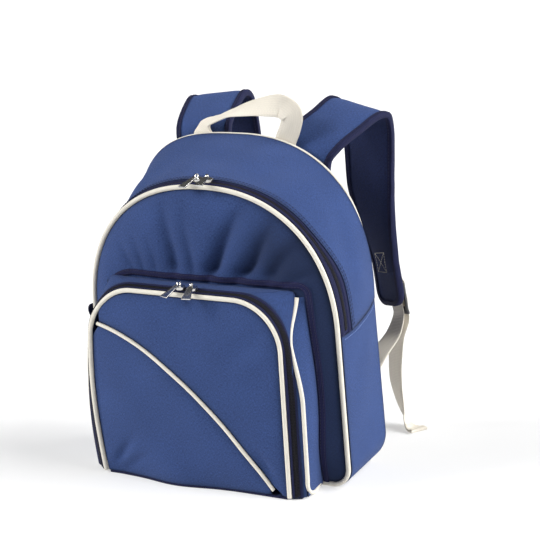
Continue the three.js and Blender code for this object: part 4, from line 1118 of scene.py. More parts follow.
# %% [markdown]
# ## The pocket's zip and roof
# Behind the piping come the zip's tapes and coil, then a blue roof that runs down both flanks. They could
# be cut from one sheet, but as strips between two of the U lines each keeps its own weave and edge.

# %% Pocket zip and roof
ZIP_START = 3.0
FLANK = np.linspace(0, 1, 500)


def pocket_strip(near, far, lift):
    """A wall between two U lines, raised from the straight way by lift(v)."""
    def place(u, v):
        from_end = np.minimum(u, 1 - u)
        sideways = np.where(u < 0.5, -1, 1) * smooth(0.25, 0.0, np.abs(np.abs(u - 0.5) - 0.5))
        out = unit(np.stack([sideways, -0.35 + 0 * u, smooth(0.3, 0.46, from_end) + 0.15], axis=-1))
        return mix(near(u), far(u), v[..., None]) + out * lift(v)[..., None]

    return place


def zip_near(t):
    return u_line(PIPE_LINE, t, ZIP_START)


def zip_far(t):
    return u_line(ZIP_LINE, t)


def seam_near(t):
    return u_line(ZIP_LINE, t, -0.6)


def seam_far(t):
    return u_line(SEAM_LINE_U, t, -1.6)


def tape_lift(v):
    return 0.5 - 1.1 * smooth(0.18, 0.3, v) * (1 - smooth(0.7, 0.82, v))


def roof_lift(v):
    return 1.2 * np.exp(-v / 0.12) + 0.8 * np.sin(np.pi * v)


strip = pocket_strip(zip_near, zip_far, tape_lift)
pocket_zip = loft("pocket_zip", 320, 20, strip, (0, 0, 1), ZIP_TAPE)
dress(pocket_zip, navy_tape, ["pocket_zip"])
roof = loft("pocket_top", 320, 24, pocket_strip(seam_near, seam_far, roof_lift), (0, 0, 1), WALL)
dress(roof, blue_cloth, ["pocket_top"])

half_way = np.full_like(FLANK, 0.5)
coil_line = strip(FLANK, half_way)
coil_across = unit(strip(FLANK, half_way + 0.05) - strip(FLANK, half_way - 0.05))
coil_way = unit(np.gradient(coil_line, axis=0))
coil_up = np.cross(coil_way, coil_across)
coil_up = coil_up * np.sign(np.sum(coil_up * (coil_line - np.array([0, -60, 60])), axis=1))[:, None]
coil("pocket_coil", coil_line + coil_up * 0.5, coil_across, coil_up)
print("pocket zip and roof ready")

# %% [markdown]
# ## The pocket's sides
# A narrow side piece closes the pocket behind the roof's flank. Its piping comes down the front seam,
# turns under at the foot and runs back along the base. The turn could be a sharp corner, but a cord
# doesn't bend like that, so it is a quarter circle.

# %% Pocket sides
SIDE_RADIUS = 2.2
SIDE_TOP = 0.348
PIPE_STARTS = {"left": 0.74, "right": 1.0}
for side, sign in (("left", -1), ("right", 1)):
    def share_of(u, sign=sign):
        return u * SIDE_TOP if sign < 0 else 1 - u * SIDE_TOP

    def side_face(u, v, sign=sign, share_of=share_of):
        front = u_line(SEAM_LINE_U, share_of(u)) + np.array([-sign * 0.8, 1.6, 0])
        z = front[..., 2]
        x = sign * back_half(z)
        rear = np.stack([x, main_face(x, z) - 0.6, z], axis=-1)
        puff = 2.2 * np.sin(np.pi * v) * np.sin(np.pi * np.clip(u, 0.02, 0.98)) ** 0.5
        return mix(front, rear, v[..., None]) + np.stack([sign * puff, 0 * v, 0 * v], axis=-1)

    wall = loft(f"pocket_side_{side}", 120, 30, side_face, (sign, 0, 0), WALL)
    dress(wall, blue_cloth, [f"pocket_side_{side}"])

    upright = u_line(SEAM_LINE_U, share_of(np.linspace(PIPE_STARTS[side], 0.09, 110)))
    corner = upright[-1]
    bend = np.linspace(0, np.pi / 2, 14)[1:]
    radius = corner[2] - SIDE_RADIUS - 0.4
    turn = corner + np.stack([
        -sign * 2 * np.sin(bend),
        radius * (1 - np.cos(bend)),
        -radius * np.sin(bend),
    ], axis=-1)
    back_end = np.array([sign * (back_half(4) - 1), -52, turn[-1][2] + 1.5])
    under = mix(turn[-1], back_end, np.linspace(0, 1, 16)[1:, None])
    side_pipe = tube(f"pocket_side_piping_{side}", np.concatenate([upright, turn, under]), SIDE_RADIUS)
    dress(side_pipe, cream_piping, [f"pocket_side_piping_{side}"])
print("pocket sides ready")

# %% [markdown]
# ## The pocket's base and binding
# The base closes the pocket below. Navy tape covers the join of pocket and main panel, sewn down by a row
# of stitches along each edge. The tape could be swept along a curve, but it has to lie on the panel's
# swell, so it is a loft whose depth comes from the panel's own face. A thin navy edge runs along the
# foot of the pocket's face.

# %% Pocket base and binding
BASE_HALF = 117
BASE_BACK = -47
BASE_WALL = 1.8
BINDING_WIDTH = 6.5
BINDING_WALL = 1.0
BINDING_FOOT = 3
BINDING_CORNERS = (42, 7)


def base_face(u, v):
    x = mix(-BASE_HALF, BASE_HALF, u)
    seam_half = np.where(x < 0, SEAM_LINE_U["left"], SEAM_LINE_U["right"])
    pipe_half = np.where(x < 0, PIPE_LINE["left"], PIPE_LINE["right"])
    back_by = np.where(x < 0, SEAM_LINE_U["backs"][0], SEAM_LINE_U["backs"][1])
    front = mix(panel_face(x, 0 * x), POCKET_FRONT + back_by, smooth(pipe_half - 6, seam_half, np.abs(x)))
    return np.stack([x, mix(front + 1.2, BASE_BACK, v), 0.1 + 0 * x], axis=-1)


def join_line():
    """x and z of the pocket's join: up the left side, round the corners and down the right side."""
    top = SEAM_LINE_U["top"]
    bend = np.linspace(0, np.pi / 2, 30)
    halves = []
    for sign, radius in zip((-1, 1), BINDING_CORNERS):
        z = np.linspace(BINDING_FOOT, top - radius, 80)[:-1]
        side_x = sign * back_half(z)
        corner_x = sign * (back_half(top - radius) - radius * (1 - np.cos(bend)))
        corner_z = top - radius * (1 - np.sin(bend))
        halves.append(np.stack([np.append(side_x, corner_x), np.append(z, corner_z)], axis=1))
    return np.concatenate([halves[0], halves[1][::-1]])


JOIN = join_line()
JOIN_FAR = walked(JOIN, 0)


def binding_face(u, v):
    """Tape along the join, whose outer edge lies further out on the main panel."""
    stops = u * JOIN_FAR[-1]
    ahead, here, behind = (carried(stops + step, JOIN_FAR, JOIN) for step in (4, 0, -4))
    way = unit(ahead - behind)
    out = np.stack([-way[..., 1], way[..., 0]], axis=-1)
    spot = here + out * (0.5 + v * BINDING_WIDTH)[..., None]
    fold = 0.5 * np.sin(np.pi * v)
    return np.stack([spot[..., 0], main_face(spot[..., 0], spot[..., 1]) - 1.3 - fold, spot[..., 1]], axis=-1)


base = loft("pocket_base", 120, 20, base_face, (0, 0, -1), BASE_WALL)
dress(base, blue_cloth, ["pocket_base"])
binding = loft("pocket_binding", 420, 8, binding_face, (0, -1, 0), BINDING_WALL)
dress(binding, binding_tape, ["pocket_binding"])
TAPE_U = np.linspace(0.004, 0.996, 600)
binding_rows = []
for across in (0.22, 0.78):
    line = binding_face(TAPE_U, np.full_like(TAPE_U, across))
    binding_rows.append((line + np.array([0, -0.12, 0]), np.array([0.0, -1.0, 0.0])))
stitch_rows("binding_stitches", binding_rows, navy_thread, pitch=3.4, length=2.5, radius=0.45)

foot_x = np.linspace(-112, 104, 120)
foot_line = np.stack([foot_x, panel_face(foot_x, 0 * foot_x) + 0.6, 1.5 + 0 * foot_x], axis=-1)
foot_edge = tube("pocket_foot_edge", foot_line, 1.2, sides=8)
dress(foot_edge, navy_tape)
print("pocket base and binding ready")

# %% [markdown]
# ## The zip's end
# At the left side seam the end of the zip tape is folded on itself and stands out as a small loop. A
# bent plane would do, but a loft keeps the tape's map on the fold.

# %% Zip end loop
TAB = {"reach": 11, "height": 18, "depth": 14, "wall": 1.2}
half_zip = ZIP_BAND["side"] / 2 / gusset_depth(np.array([SIDE_SHARE]))
tab_seat = gusset_face(np.array([1 - SIDE_SHARE]), half_zip)[0]


def tab_face(u, v):
    """Zip tape folded on itself, standing out from the left side seam."""
    angle = np.pi * u
    out = TAB["reach"] * np.sin(angle) ** 0.8
    rise = -TAB["height"] / 2 * np.cos(angle) + 2.0 * np.sin(angle)
    deep = TAB["depth"] * (v - 0.5)
    return np.stack([tab_seat[0] - 0.5 - out, tab_seat[1] + deep, tab_seat[2] - 2 + rise], axis=-1)


tab = loft("zip_end_tab", 40, 8, tab_face, (-1, 0, 0), TAB["wall"])
dress(tab, navy_tape, ["zip_end_tab"])
print("zip end at", tab_seat)

# %% [markdown]
# ## Bands: straps and webbing
# A strap is a line in space with a direction across it. The line is a smooth curve through a few rows,
# and the direction turns evenly between them. A curve with a bevel could do this, but it twists where it
# likes. The same rows serve left and right, mirrored, and the left strap hangs a little nearer the
# middle, higher and with less tilt.

# %% Bands
STRAP_ROWS = [
    (52, 49.4, 284, 0.97, 0, -0.25, 57),
    (57, 50.2, 312, 0.96, 0, -0.25, 59),
    (60, 53.6, 334, 0.95, -0.05, -0.25, 61),
    (68.5, 65, 348, 0.94, -0.13, -0.26, 63),
    (79, 88, 361, 0.95, -0.15, -0.25, 65),
    (88, 114, 372.5, 0.96, -0.1, -0.25, 66),
    (91, 131, 368, 0.96, -0.06, -0.2, 64),
    (91, 141, 350, 0.97, -0.05, -0.08, 60),
    (89, 147.5, 320, 0.97, -0.06, 0, 58),
    (87.5, 152, 280, 0.98, -0.12, 0, 57),
    (93, 153, 240, 0.92, -0.36, 0, 54),
    (103, 152, 195, 0.8, -0.6, 0, 52),
    (111, 150, 147, 0.8, -0.6, 0, 52),
]
LEFT_HANG = {
    "bow": (0, -2, -5, -3.5, 2, 7, 9, 10, 9, 7.5, 7, 4, 0),
    "turn": (0, 0, 0, 0.02, 0.05, 0.1, 0.16, 0.17, 0.16, 0.1, 0.07, 0, 0),
    "lift": (0, 0, 2, 7, 10, 9, 7, 3, 0, 0, 0, 0, 0),
    "tilt": 0.4,
}
BAND_STEPS = 400
WEB_WIDTH, WEB_THICK = 25, 1.6


class Band:
    """Rows of x, y, z, the direction across, and the width where it isn't that of webbing."""

    def __init__(self, rows, sign=1, hang=None):
        rows = np.array(rows, dtype=float)
        self.points = rows[:, :3] * (sign, 1, 1)
        self.across = rows[:, 3:6] * (1, sign, sign)
        if hang:
            self.points[:, 0] += hang["bow"]
            self.points[:, 2] += hang["lift"]
            self.across[:, 1] += hang["turn"]
            self.across[:, 2] *= hang["tilt"]
        self.width = rows[:, 6] if rows.shape[1] > 6 else np.full(len(rows), float(WEB_WIDTH))
        self.row = np.linspace(0, len(rows) - 1, BAND_STEPS * (len(rows) - 1) + 1)
        self.line = self.curve(self.row)
        self.far = walked(self.line, 0)
        self.length = self.far[-1]

    def curve(self, row):
        """A centripetal curve through the rows."""
        p = np.concatenate([[2 * self.points[0] - self.points[1]], self.points,
                            [2 * self.points[-1] - self.points[-2]]])
        i = np.minimum(row.astype(int), len(self.points) - 2)
        share = (row - i)[:, None]
        a, b, c, d = (p[i + k] for k in range(4))
        chords = (b - a, c - b, d - c)
        ab, bc, cd = (np.sqrt(np.linalg.norm(chord, axis=1, keepdims=True)) for chord in chords)
        start = ((b - a) / ab - (c - a) / (ab + bc) + (c - b) / bc) * bc
        end = ((c - b) / bc - (d - b) / (bc + cd) + (d - c) / cd) * bc
        return (b + start * share + (3 * (c - b) - 2 * start - end) * share ** 2
                + (2 * (b - c) + start + end) * share ** 3)

    def frames(self, distance):
        """Centres, directions across, along and out, and widths, at distances along the band."""
        inside = np.clip(distance, 0, self.length)
        row = np.interp(inside, self.far, self.row)
        centre = carried(inside, self.far, self.line)
        ahead = self.curve(np.minimum(row + 0.02, self.row[-1]))
        behind = self.curve(np.maximum(row - 0.02, 0))
        way = unit(ahead - behind)
        number = np.arange(len(self.points))
        across = carried(row, number, self.across)
        across = unit(across - way * np.sum(across * way, axis=1, keepdims=True))
        centre = centre + way * (distance - inside)[:, None]
        return centre, across, way, np.cross(across, way), np.interp(row, number, self.width)

    def place(self, distance, a, out):
        """Points at distances along, a across and out from the face."""
        centre, across, _, face, _ = self.frames(np.ravel(distance))
        shape = np.shape(distance)
        points = centre + across * np.ravel(a)[:, None] + face * np.ravel(out)[:, None]
        return points.reshape(*shape, 3)


print("strap length", round(Band(STRAP_ROWS).length), "mm")

# %% [markdown]
# ## Padded shoulder straps
# Each strap is foam in a cover, blue outside and navy inside, with navy tape folded over its edge. The
# cover is swept a little thin, pinned where the tape holds it, and blown up by a short cloth
# simulation with pressure and no gravity, so that the foam shows as a crown between the edges. The crown
# could be drawn into the section, but pressure spreads it over the bends by itself.

# %% Strap cover
STRAP_EDGE = 2.4
STRAP_FULL = 3.7
STRAP_MARGIN = 5.4
STRAP_END = 16
SECTION = np.linspace(-1, 1, 15)


def strap_stations(strap):
    """Sections of the cover from its sewn end to its round one, and which of their points are held."""
    flat = np.linspace(0, strap.length - STRAP_END, 84)
    end = strap.length - STRAP_END + STRAP_END * np.sin(np.linspace(0, np.pi / 2, 9)[1:])
    stops = np.concatenate([flat, end])
    width = strap.frames(stops)[4]
    past = np.clip(stops - (strap.length - STRAP_END), 0, STRAP_END)
    half = width / 2 - STRAP_END + np.sqrt(np.maximum(STRAP_END ** 2 - past ** 2, 0))
    a = half[:, None] * SECTION
    inside = (width / 2)[:, None] - np.abs(a)
    thin = smooth(strap.length - 2.4 * STRAP_END, strap.length - STRAP_END, stops)[:, None]
    crown = mix(STRAP_EDGE, STRAP_FULL, smooth(STRAP_MARGIN - 2, STRAP_MARGIN + 8, inside) * (1 - thin))
    stretch = np.broadcast_to(stops[:, None], a.shape)
    upper_side = strap.place(stretch, a, crown)
    lower_side = strap.place(stretch, a, -crown)[:, ::-1]
    held = (inside < STRAP_MARGIN) | (stretch < 30) | (stretch > strap.length - 2 * STRAP_END)
    return np.concatenate([upper_side, lower_side], axis=1), np.concatenate([held, held[:, ::-1]], axis=1)


print("cover sections", strap_stations(Band(STRAP_ROWS))[0].shape)

# %% Cloth simulation
PUFF_CAP = 2.6
PUFF_FRAMES = 20


def puff(piece, held, cap):
    """Blows a cover up against its pinned edge, and keeps no point further out than the cap."""
    rest = np.array([v.co for v in piece.data.vertices])
    pins = piece.vertex_groups.new(name="pins")
    pins.add([int(i) for i in np.nonzero(held)[0]], 1.0, "REPLACE")
    cloth = piece.modifiers.new("cloth", "CLOTH")
    cloth.settings.vertex_group_mass = "pins"
    cloth.settings.use_pressure = True
    cloth.settings.uniform_pressure_force = 4.0
    cloth.settings.quality = 6
    cloth.settings.tension_stiffness = 12
    cloth.settings.bending_stiffness = 0.6
    cloth.settings.effector_weights.gravity = 0
    cloth.point_cache.frame_start = 1
    cloth.point_cache.frame_end = PUFF_FRAMES
    for number in range(1, PUFF_FRAMES + 1):
        bpy.context.scene.frame_set(number)
    only(piece)
    bpy.ops.object.modifier_apply(modifier="cloth")
    moved = np.array([v.co for v in piece.data.vertices])
    step = moved - rest
    size = np.linalg.norm(step, axis=1, keepdims=True)
    step = step * np.minimum(1, cap * MM / np.maximum(size, 1e-9))
    piece.data.vertices.foreach_set("co", (rest + step).astype(np.float32).ravel())
    piece.data.update()
    bpy.context.scene.frame_set(1)
    return float(size.max() / MM)


print("cloth simulation", "on")

# %% Strap binding
def strap_binding(strap, name):
    """Tape folded over the edge: down one side, round the free end and up the other."""
    inner, outer_face, fold = STRAP_EDGE + 0.35, STRAP_EDGE + 1.3, STRAP_MARGIN - 1
    lips = np.array([
        (-fold, outer_face), (-fold, inner), (0.2, inner), (0.2, -inner), (-fold, -inner),
        (-fold, -outer_face), (0.5, -outer_face), (1.2, -inner), (1.2, inner), (0.5, outer_face),
    ])
    straight = strap.length - STRAP_END
    down = np.linspace(14, straight, 80)
    bend = np.linspace(0, np.pi / 2, 9)[1:]
    distance = np.concatenate([down, np.full(8, straight)])
    angle = np.concatenate([0 * down, bend])
    distance = np.concatenate([distance, distance[::-1]])
    angle = np.concatenate([angle, np.pi - angle[::-1]])
    side = np.where(np.arange(len(angle)) < len(angle) / 2, 1, -1)
    corner = strap.frames(distance)[4] / 2 - STRAP_END
    reach_out = STRAP_END + lips[:, 0]
    far = distance[:, None] + reach_out * np.sin(angle)[:, None]
    a = (side * corner)[:, None] + reach_out * np.cos(angle)[:, None]
    stations = strap.place(far, a, np.broadcast_to(lips[:, 1], a.shape))
    rows = []
    for face in (1, -1):
        inset = STRAP_END - STRAP_MARGIN + 2.4
        line = strap.place(distance + inset * np.sin(angle), side * corner + inset * np.cos(angle),
                           np.full_like(angle, face * (outer_face + 0.1)))
        rows.append((line, face * strap.frames(distance)[3]))
    return swept(name, stations), rows


print("the tape holds the outer", STRAP_MARGIN, "mm of the cover")

# %% Both straps
LINE_STEP = 60
straps = {}
for side, sign in (("left", -1), ("right", 1)):
    strap = Band(STRAP_ROWS, sign, LEFT_HANG if side == "left" else None)
    straps[side] = strap
    stations, held = strap_stations(strap)
    cover = swept(f"shoulder_strap_{side}", stations)
    print("strap", side, "puffed by", round(puff(cover, held.ravel(), PUFF_CAP), 2), "mm")
    apply_modifier(cover, "SUBSURF", levels=1, render_levels=1)
    dress(cover, [blue_cloth, navy_cloth], [f"shoulder_strap_{side}"])
    centres = np.array([polygon.center for polygon in cover.data.polygons]) / MM
    line = strap.line[::LINE_STEP]
    nearest = np.argmin(np.linalg.norm(centres[:, None] - line[None], axis=2), axis=1)
    faces_out = strap.frames(strap.far[::LINE_STEP])[3][nearest]
    offset = np.sum((centres - line[nearest]) * faces_out, axis=1)
    for polygon, out in zip(cover.data.polygons, offset):
        polygon.material_index = 0 if out > 0 else 1
    trim, rows = strap_binding(strap, f"strap_binding_{side}")
    dress(trim, navy_tape, [f"strap_binding_{side}"])
    stitch_rows(f"strap_stitches_{side}", rows, navy_thread, pitch=3.8, length=2.8)
    print(cover.name, len(cover.data.polygons), "faces")

# %% [markdown]
# ## Webbing
# The handle, the buckle's loop and the adjuster are flat cream webbing. It is stiff across and soft
# along, so a swept section with rounded selvedges is enough. The adjuster's free end is folded and sewn.

# %% Webbing
HEM = 15
SELVEDGE = 0.45


def webbing(name, band, hem=False, steps=2.0):
    """A flat band with rounded selvedges, and a doubled end where it is hemmed."""
    stops = np.linspace(0, band.length, int(band.length / steps))
    half, thin = WEB_WIDTH / 2, WEB_THICK / 2
    level_part = np.linspace(-half + 0.7, half - 0.7, 9)
    a = np.concatenate([[-half], level_part, [half], [half], level_part[::-1], [-half]])
    rounded = np.concatenate([[SELVEDGE], np.ones(9), [SELVEDGE]])
    out = np.concatenate([rounded, -rounded]) * thin
    thick = np.ones_like(stops)
    if hem:
        thick = thick + 0.9 * smooth(band.length - HEM - 1.5, band.length - HEM, stops)
    stations = band.place(np.broadcast_to(stops[:, None], (len(stops), len(a))),
                          np.broadcast_to(a, (len(stops), len(a))), out * thick[:, None])
    return swept(name, stations)


def box_stitch(band, low, high, half, out):
    """Rows for a square of stitches with a cross in it, on one face of a band."""
    corners = [(low, -half), (low, half), (high, half), (high, -half), (low, -half)]
    corners += [(high, half), (high, -half), (low, half)]
    rows = []
    for (d0, a0), (d1, a1) in zip(corners, corners[1:]):
        share = np.linspace(0, 1, 30)
        distance = mix(d0, d1, share)
        line = band.place(distance, mix(a0, a1, share), np.full_like(share, out))
        rows.append((line, np.sign(out) * band.frames(distance)[3]))
    return rows


print("webbing", WEB_WIDTH, "by", WEB_THICK, "mm")

# %% [markdown]
# ## Handle
# The grab handle is sewn in at both ends. From the left seam it soon lies nearly flat, turns up on its
# edge toward the right and folds over into the right seam. A plain arch would be easier to make, but it
# would not show its face to the front as the real one does.

# %% Handle
HANDLE_ROWS = [
    (-65, 46.5, 334, 1, 0, 0.14),
    (-63, 49, 349, 1, 0.04, 0.14),
    (-61, 51.4, 354.5, 0.97, -0.12, 0.12),
    (-55.5, 51.8, 361, 0.58, -0.76, 0),
    (-46.6, 50.6, 365.2, 0.34, -0.9, -0.12),
    (-28.4, 50.6, 372.6, 0.24, -0.9, -0.2),
    (-13.5, 51, 376.4, 0.2, -0.85, -0.45),
    (6, 51.2, 380, 0.12, -0.7, -0.7),
    (24, 50.6, 381.6, 0.04, -0.4, -0.91),
    (33, 50.4, 381.2, -0.06, -0.15, -0.97),
    (36.5, 50.2, 379.8, -0.45, -0.3, -0.84),
    (46.5, 48.7, 372.5, -0.97, -0.08, -0.2),
    (45, 47.4, 359.6, -0.98, 0, 0.18),
    (39.5, 46.6, 346, -0.96, 0, 0.27),
    (36.4, 46.5, 334, -0.96, 0, 0.27),
]

handle_band = Band(HANDLE_ROWS)
dress(webbing("grab_handle", handle_band), cream_webbing, ["grab_handle"])
print("handle", round(handle_band.length), "mm")

# %% [markdown]
# ## Buckle loops and adjusters
# A short loop, sewn to the strap with a crossed square, holds the buckle. The adjuster comes up from the
# foot, goes round the buckle's middle bar and hangs down to its hemmed end. The parts near the buckle are
# given as places past the strap's end and out from its face, so they follow the strap on either side.

# %% Buckle loops and adjusters
LOOP_ROUTE = [
    (-70, 6.3), (-45, 6.1), (-30, 6.1), (-22, 6.1), (-18.5, 9.6),
    (-22, 13.1), (-28, 11), (-37, 8.1), (-62, 7.9),
]
THREAD_ROUTE = [(12, 6.4), (4, 6.6), (-9, 6.1), (-12.5, 9.6), (-9, 13.1), (4, 12.8), (14, 12.6)]
ANCHOR_ROWS = [
    (113, 45.6, 34, 1, 0, 0),
    (112.7, 45.6, 46, 1, 0, 0),
    (112, 49, 54, 1, -0.03, 0),
    (109, 66, 68, 0.99, -0.1, 0),
    (111, 105, 96, 0.95, -0.3, 0),
    (116, 141, 117, 0.84, -0.54, 0),
]
TAIL_ROWS = [
    (111, 166, 112, 0.84, -0.54, 0),
    (106, 167, 84, 0.88, -0.47, 0),
    (106, 166, 54, 0.85, -0.53, 0),
    (113, 163, 27, 0.68, -0.7, -0.1),
    (121, 159, 10.5, 0.45, -0.88, 0),
    (130, 155.5, 3.6, 0.3, -0.95, 0),
    (141, 151, 2.4, 0.28, -0.96, 0),
]
HEM_FACE = 1.65
BOX = {"low": 60, "high": 38, "half": 10, "out": 2.0}

for side, sign in (("left", -1), ("right", 1)):
    strap = straps[side]

    def route(rows, strap=strap, sign=sign):
        past, out = np.array(rows, float).T
        points = strap.place(strap.length + past, 0 * past, out) * (sign, 1, 1)
        across = strap.frames(strap.length + past)[1] * (1, sign, sign)
        return [(*point, *way) for point, way in zip(points, across)]

    loop = webbing(f"buckle_loop_{side}", Band(route(LOOP_ROUTE), sign), steps=1.2)
    dress(loop, cream_webbing, [f"buckle_loop_{side}"])
    adjuster_band = Band(ANCHOR_ROWS + route(THREAD_ROUTE) + TAIL_ROWS, sign)
    adjuster = webbing(f"adjuster_webbing_{side}", adjuster_band, hem=True, steps=1.6)
    dress(adjuster, cream_webbing, [f"adjuster_webbing_{side}"])
    hem_rows = []
    for back_by in (3, HEM - 2):
        a = np.linspace(-11, 11, 30)
        distance = np.full_like(a, adjuster_band.length - back_by)
        for face in (HEM_FACE, -HEM_FACE):
            line = adjuster_band.place(distance, a, np.full_like(a, face))
            hem_rows.append((line, np.sign(face) * adjuster_band.frames(distance)[3]))
    stitch_rows(f"hem_stitches_{side}", hem_rows, cream_thread, pitch=2.6, length=1.9, radius=0.3)
    low, high = strap.length - BOX["low"], strap.length - BOX["high"]
    box_rows = box_stitch(strap, low, high, BOX["half"], -(STRAP_FULL + BOX["out"]))
    stitch_rows(f"box_stitches_{side}", box_rows, cream_thread, pitch=3.0, length=2.4, radius=0.38)
    print("adjuster", side, round(adjuster_band.length), "mm")

# %% [markdown]
# ## Buckles
# A ladder-lock is one moulded frame with three bars and a thumb lip. It starts as a flat grid, whose
# rows become the bars: the two openings are deleted, the lip is extruded from the last bar, and
# Solidify and Bevel give it its moulded body. A block with holes cut by Boolean would also do, but its
# edges bevel less cleanly.

# %% Buckles
BUCKLE_X = [-17.5, -13.5, 13.5, 17.5]
BUCKLE_Y = [-23.3, -20.7, -10.3, -7.7, 3.7, 6.3]
BUCKLE_THICK = 2.6
BUCKLE_OUT = 9.6
LIP, LIP_RISE = 6.0, 0.9
HARD_EDGE = math.radians(40)


def select_none(kind):
    """Sets the kind of thing that is selected and leaves none of it selected."""
    bpy.ops.object.mode_set(mode="EDIT")
    bpy.ops.mesh.select_mode(type=kind)
    bpy.ops.mesh.select_all(action="DESELECT")
    bpy.ops.object.mode_set(mode="OBJECT")


def buckle_mesh(name):
    bpy.ops.object.select_all(action="DESELECT")
    bpy.ops.mesh.primitive_grid_add(x_subdivisions=3, y_subdivisions=5, size=1)
    piece = bpy.context.object
    piece.name = name
    for vertex in piece.data.vertices:
        column = round((vertex.co.x + 0.5) * 3)
        row = round((vertex.co.y + 0.5) * 5)
        vertex.co = Vector((BUCKLE_X[column], BUCKLE_Y[row], 0)) * MM
    select_none("FACE")
    for polygon in piece.data.polygons:
        x, y = polygon.center.x / MM, polygon.center.y / MM
        in_opening = BUCKLE_Y[1] < y < BUCKLE_Y[2] or BUCKLE_Y[3] < y < BUCKLE_Y[4]
        polygon.select = abs(x) < BUCKLE_X[2] and in_opening
    bpy.ops.object.mode_set(mode="EDIT")
    bpy.ops.mesh.delete(type="FACE")
    select_none("EDGE")
    for edge in piece.data.edges:
        ends = [piece.data.vertices[i].co.y / MM for i in edge.vertices]
        edge.select = min(ends) > BUCKLE_Y[5] - 0.01
    bpy.ops.object.mode_set(mode="EDIT")
    bpy.ops.mesh.extrude_region_move(TRANSFORM_OT_translate={"value": (0, LIP * MM, LIP_RISE * MM)})
    bpy.ops.object.mode_set(mode="OBJECT")
    apply_modifier(piece, "SOLIDIFY", thickness=BUCKLE_THICK * MM, offset=0.0)
    apply_modifier(piece, "BEVEL", width=0.6 * MM, segments=3, limit_method="ANGLE")
    bpy.ops.object.shade_smooth_by_angle(angle=HARD_EDGE)
    return piece


for side in ("left", "right"):
    strap = straps[side]
    centre, across, way, out, _ = (value[0] for value in strap.frames(np.array([strap.length])))
    seat = Matrix((across, way, out)).transposed().to_4x4()
    seat.translation = Vector((centre + out * BUCKLE_OUT) * MM)
    buckle = buckle_mesh(f"buckle_{side}")
    buckle.data.transform(seat)
    dress(buckle, grey_plastic, [f"buckle_{side}"])
    print(buckle.name, len(buckle.data.polygons), "faces")

# %% [markdown]
# ## Zip sliders and pulls
# A slider is a wedge-shaped body with a bridge, and its pull hangs on the bridge by an eye. The body
# is a cube drawn in at both ends and bevelled, and the bridge is a circle spun half way round. The
# pull is a plate with both of its faces sunk. Each could be modelled in its place, but all four are alike,
# so each is made once at the origin and copied to its seat.

# %% Slider
SLIDER = {"length": 10.6, "width": 9.0, "height": 3.2, "bridge": 3.4, "wire": 0.75}


def new_cube(name, size, centre):
    bpy.ops.object.select_all(action="DESELECT")
    bpy.ops.mesh.primitive_cube_add(size=1)
    piece = bpy.context.object
    piece.name = name
    piece.data.transform(Matrix.Translation(Vector(centre) * MM) @ Matrix.Diagonal((*(Vector(size) * MM), 1)))
    return piece


def join(name, *pieces):
    bpy.ops.object.select_all(action="DESELECT")
    for piece in pieces:
        piece.select_set(True)
    bpy.context.view_layer.objects.active = pieces[0]
    bpy.ops.object.join()
    pieces[0].name = name
    return pieces[0]


def slider_mesh():
    size = (SLIDER["length"], SLIDER["width"], SLIDER["height"])
    body = new_cube("slider_body", size, (0, 0, SLIDER["height"] / 2))
    bpy.ops.object.mode_set(mode="EDIT")
    bpy.ops.mesh.select_all(action="SELECT")
    bpy.ops.mesh.subdivide(number_cuts=3)
    bpy.ops.object.mode_set(mode="OBJECT")
    for vertex in body.data.vertices:
        end = abs(vertex.co.x) / (SLIDER["length"] / 2 * MM)
        vertex.co.y *= 1 - 0.42 * end ** 2
        vertex.co.z += 0.5 * MM * (1 - end ** 2) * (vertex.co.z > SLIDER["height"] * 0.9 * MM)
    apply_modifier(body, "BEVEL", width=0.5 * MM, segments=2, limit_method="ANGLE",
                   angle_limit=math.radians(50))
    body.data.materials.append(gunmetal)
    bpy.ops.object.select_all(action="DESELECT")
    bpy.ops.mesh.primitive_circle_add(vertices=10, radius=SLIDER["wire"] * MM, fill_type="NGON")
    bridge = bpy.context.object
    bridge.data.transform(Matrix.Translation((SLIDER["bridge"] * MM, 0, 0)))
    bpy.ops.object.mode_set(mode="EDIT")
    bpy.ops.mesh.select_all(action="SELECT")
    bpy.ops.mesh.spin(steps=16, angle=-math.pi, center=(0, 0, 0), axis=(0, 1, 0))
    bpy.ops.mesh.select_all(action="SELECT")
    bpy.ops.mesh.remove_doubles(threshold=1e-6)
    bpy.ops.mesh.normals_make_consistent(inside=False)
    bpy.ops.object.mode_set(mode="OBJECT")
    on_body = Matrix.Translation((0, 0, SLIDER["height"] * MM))
    bridge.data.transform(on_body @ Matrix.Diagonal((1, 1.3, 0.95, 1)))
    bridge.data.materials.append(nickel)
    slider = join("slider", body, bridge)
    bpy.ops.object.shade_smooth_by_angle(angle=HARD_EDGE)
    return slider


slider_source = slider_mesh()
print("slider", len(slider_source.data.polygons), "faces")

# %% Pull
PULL = {"start": 3.2, "length": 24.5, "width": 10.0, "thick": 1.4, "eye": 2.1, "eye_wire": 0.5}
PULL_NECK = 4


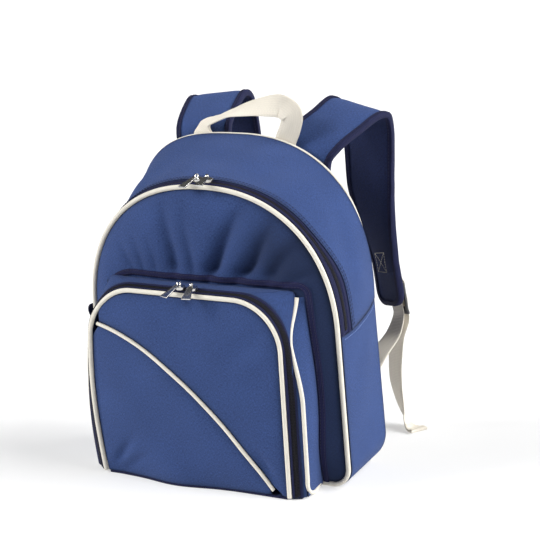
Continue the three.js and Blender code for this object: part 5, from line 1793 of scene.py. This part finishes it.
def pull_mesh():
    length = PULL["length"] - PULL["start"]
    centre = (0, -PULL["start"] - length / 2, 0)
    plate = new_cube("pull_plate", (PULL["width"], length, PULL["thick"]), centre)
    select_none("FACE")
    for polygon in plate.data.polygons:
        polygon.select = abs(polygon.normal.z) > 0.9
    bpy.ops.object.mode_set(mode="EDIT")
    bpy.ops.mesh.inset(thickness=1.1 * MM, depth=-0.3 * MM, use_individual=True)
    bpy.ops.object.mode_set(mode="OBJECT")
    for vertex in plate.data.vertices:
        near = np.clip((vertex.co.y / MM + PULL["start"] + PULL_NECK) / PULL_NECK, 0, 1)
        vertex.co.x *= 1 - 0.55 * near
    apply_modifier(plate, "BEVEL", width=0.35 * MM, segments=2, limit_method="ANGLE",
                   angle_limit=math.radians(30))
    plate.data.materials.append(gunmetal)
    bpy.ops.object.select_all(action="DESELECT")
    bpy.ops.mesh.primitive_torus_add(major_radius=PULL["eye"] * MM, minor_radius=PULL["eye_wire"] * MM,
                                     major_segments=24, minor_segments=10)
    eye = bpy.context.object
    eye.data.transform(Matrix.Diagonal((1, 1, 2.2, 1)))
    eye.data.transform(Matrix.Rotation(math.pi / 2, 4, "Y"))
    eye.data.transform(Matrix.Translation((0, -0.9 * MM, 0)))
    eye.data.materials.append(nickel)
    pull = join("pull", plate, eye)
    bpy.ops.object.shade_smooth_by_angle(angle=HARD_EDGE)
    return pull


pull_source = pull_mesh()
print("pull", len(pull_source.data.polygons), "faces")

# %% [markdown]
# ## Seats of the sliders and pulls
# The frame says where each pull turns and about which axis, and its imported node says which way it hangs.
# Numbers for each seat could be typed in, but read from the frame they stay right when it is packed again.

# %% Seats
SLIDER_DROP = 3.1


def node_points(node):
    return np.array([vertex.co for vertex in frame["nodes"][node].data.vertices])


def copy_to(source, name, matrix):
    piece = bpy.data.objects.new(name, source.data.copy())
    bpy.context.scene.collection.objects.link(piece)
    piece.data.transform(matrix)
    piece.data.name = name
    return piece


for joint in frame["joints"]:
    pull_name = joint["child"]
    zip_name, _, side = pull_name.split("_")
    pivot, hinge = Vector(joint["pos_m"]), -Vector(joint["axis"])
    hang = Vector(node_points(pull_name).mean(axis=0)) - pivot
    hang = (hang - hinge * hang.dot(hinge)).normalized()
    turn = Matrix((hinge, -hang, hinge.cross(-hang))).transposed().to_4x4()
    turn.translation = pivot
    pull = copy_to(pull_source, pull_name, turn)
    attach(pull, pull_name)
    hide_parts(pull_name)
    slider_name = f"{zip_name}_slider_{side}"
    foot = node_points(slider_name)
    rise = pivot - Vector(foot.mean(axis=0))
    up = Vector((0, rise.y, rise.z)).normalized()
    seat = Matrix(((1, 0, 0), up.cross(Vector((1, 0, 0))), up)).transposed().to_4x4()
    seat.translation = pivot - up * (SLIDER["height"] + SLIDER_DROP) * MM
    slider = copy_to(slider_source, slider_name, seat)
    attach(slider, "root")
    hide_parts(slider_name)
for source in (slider_source, pull_source):
    bpy.data.objects.remove(source)
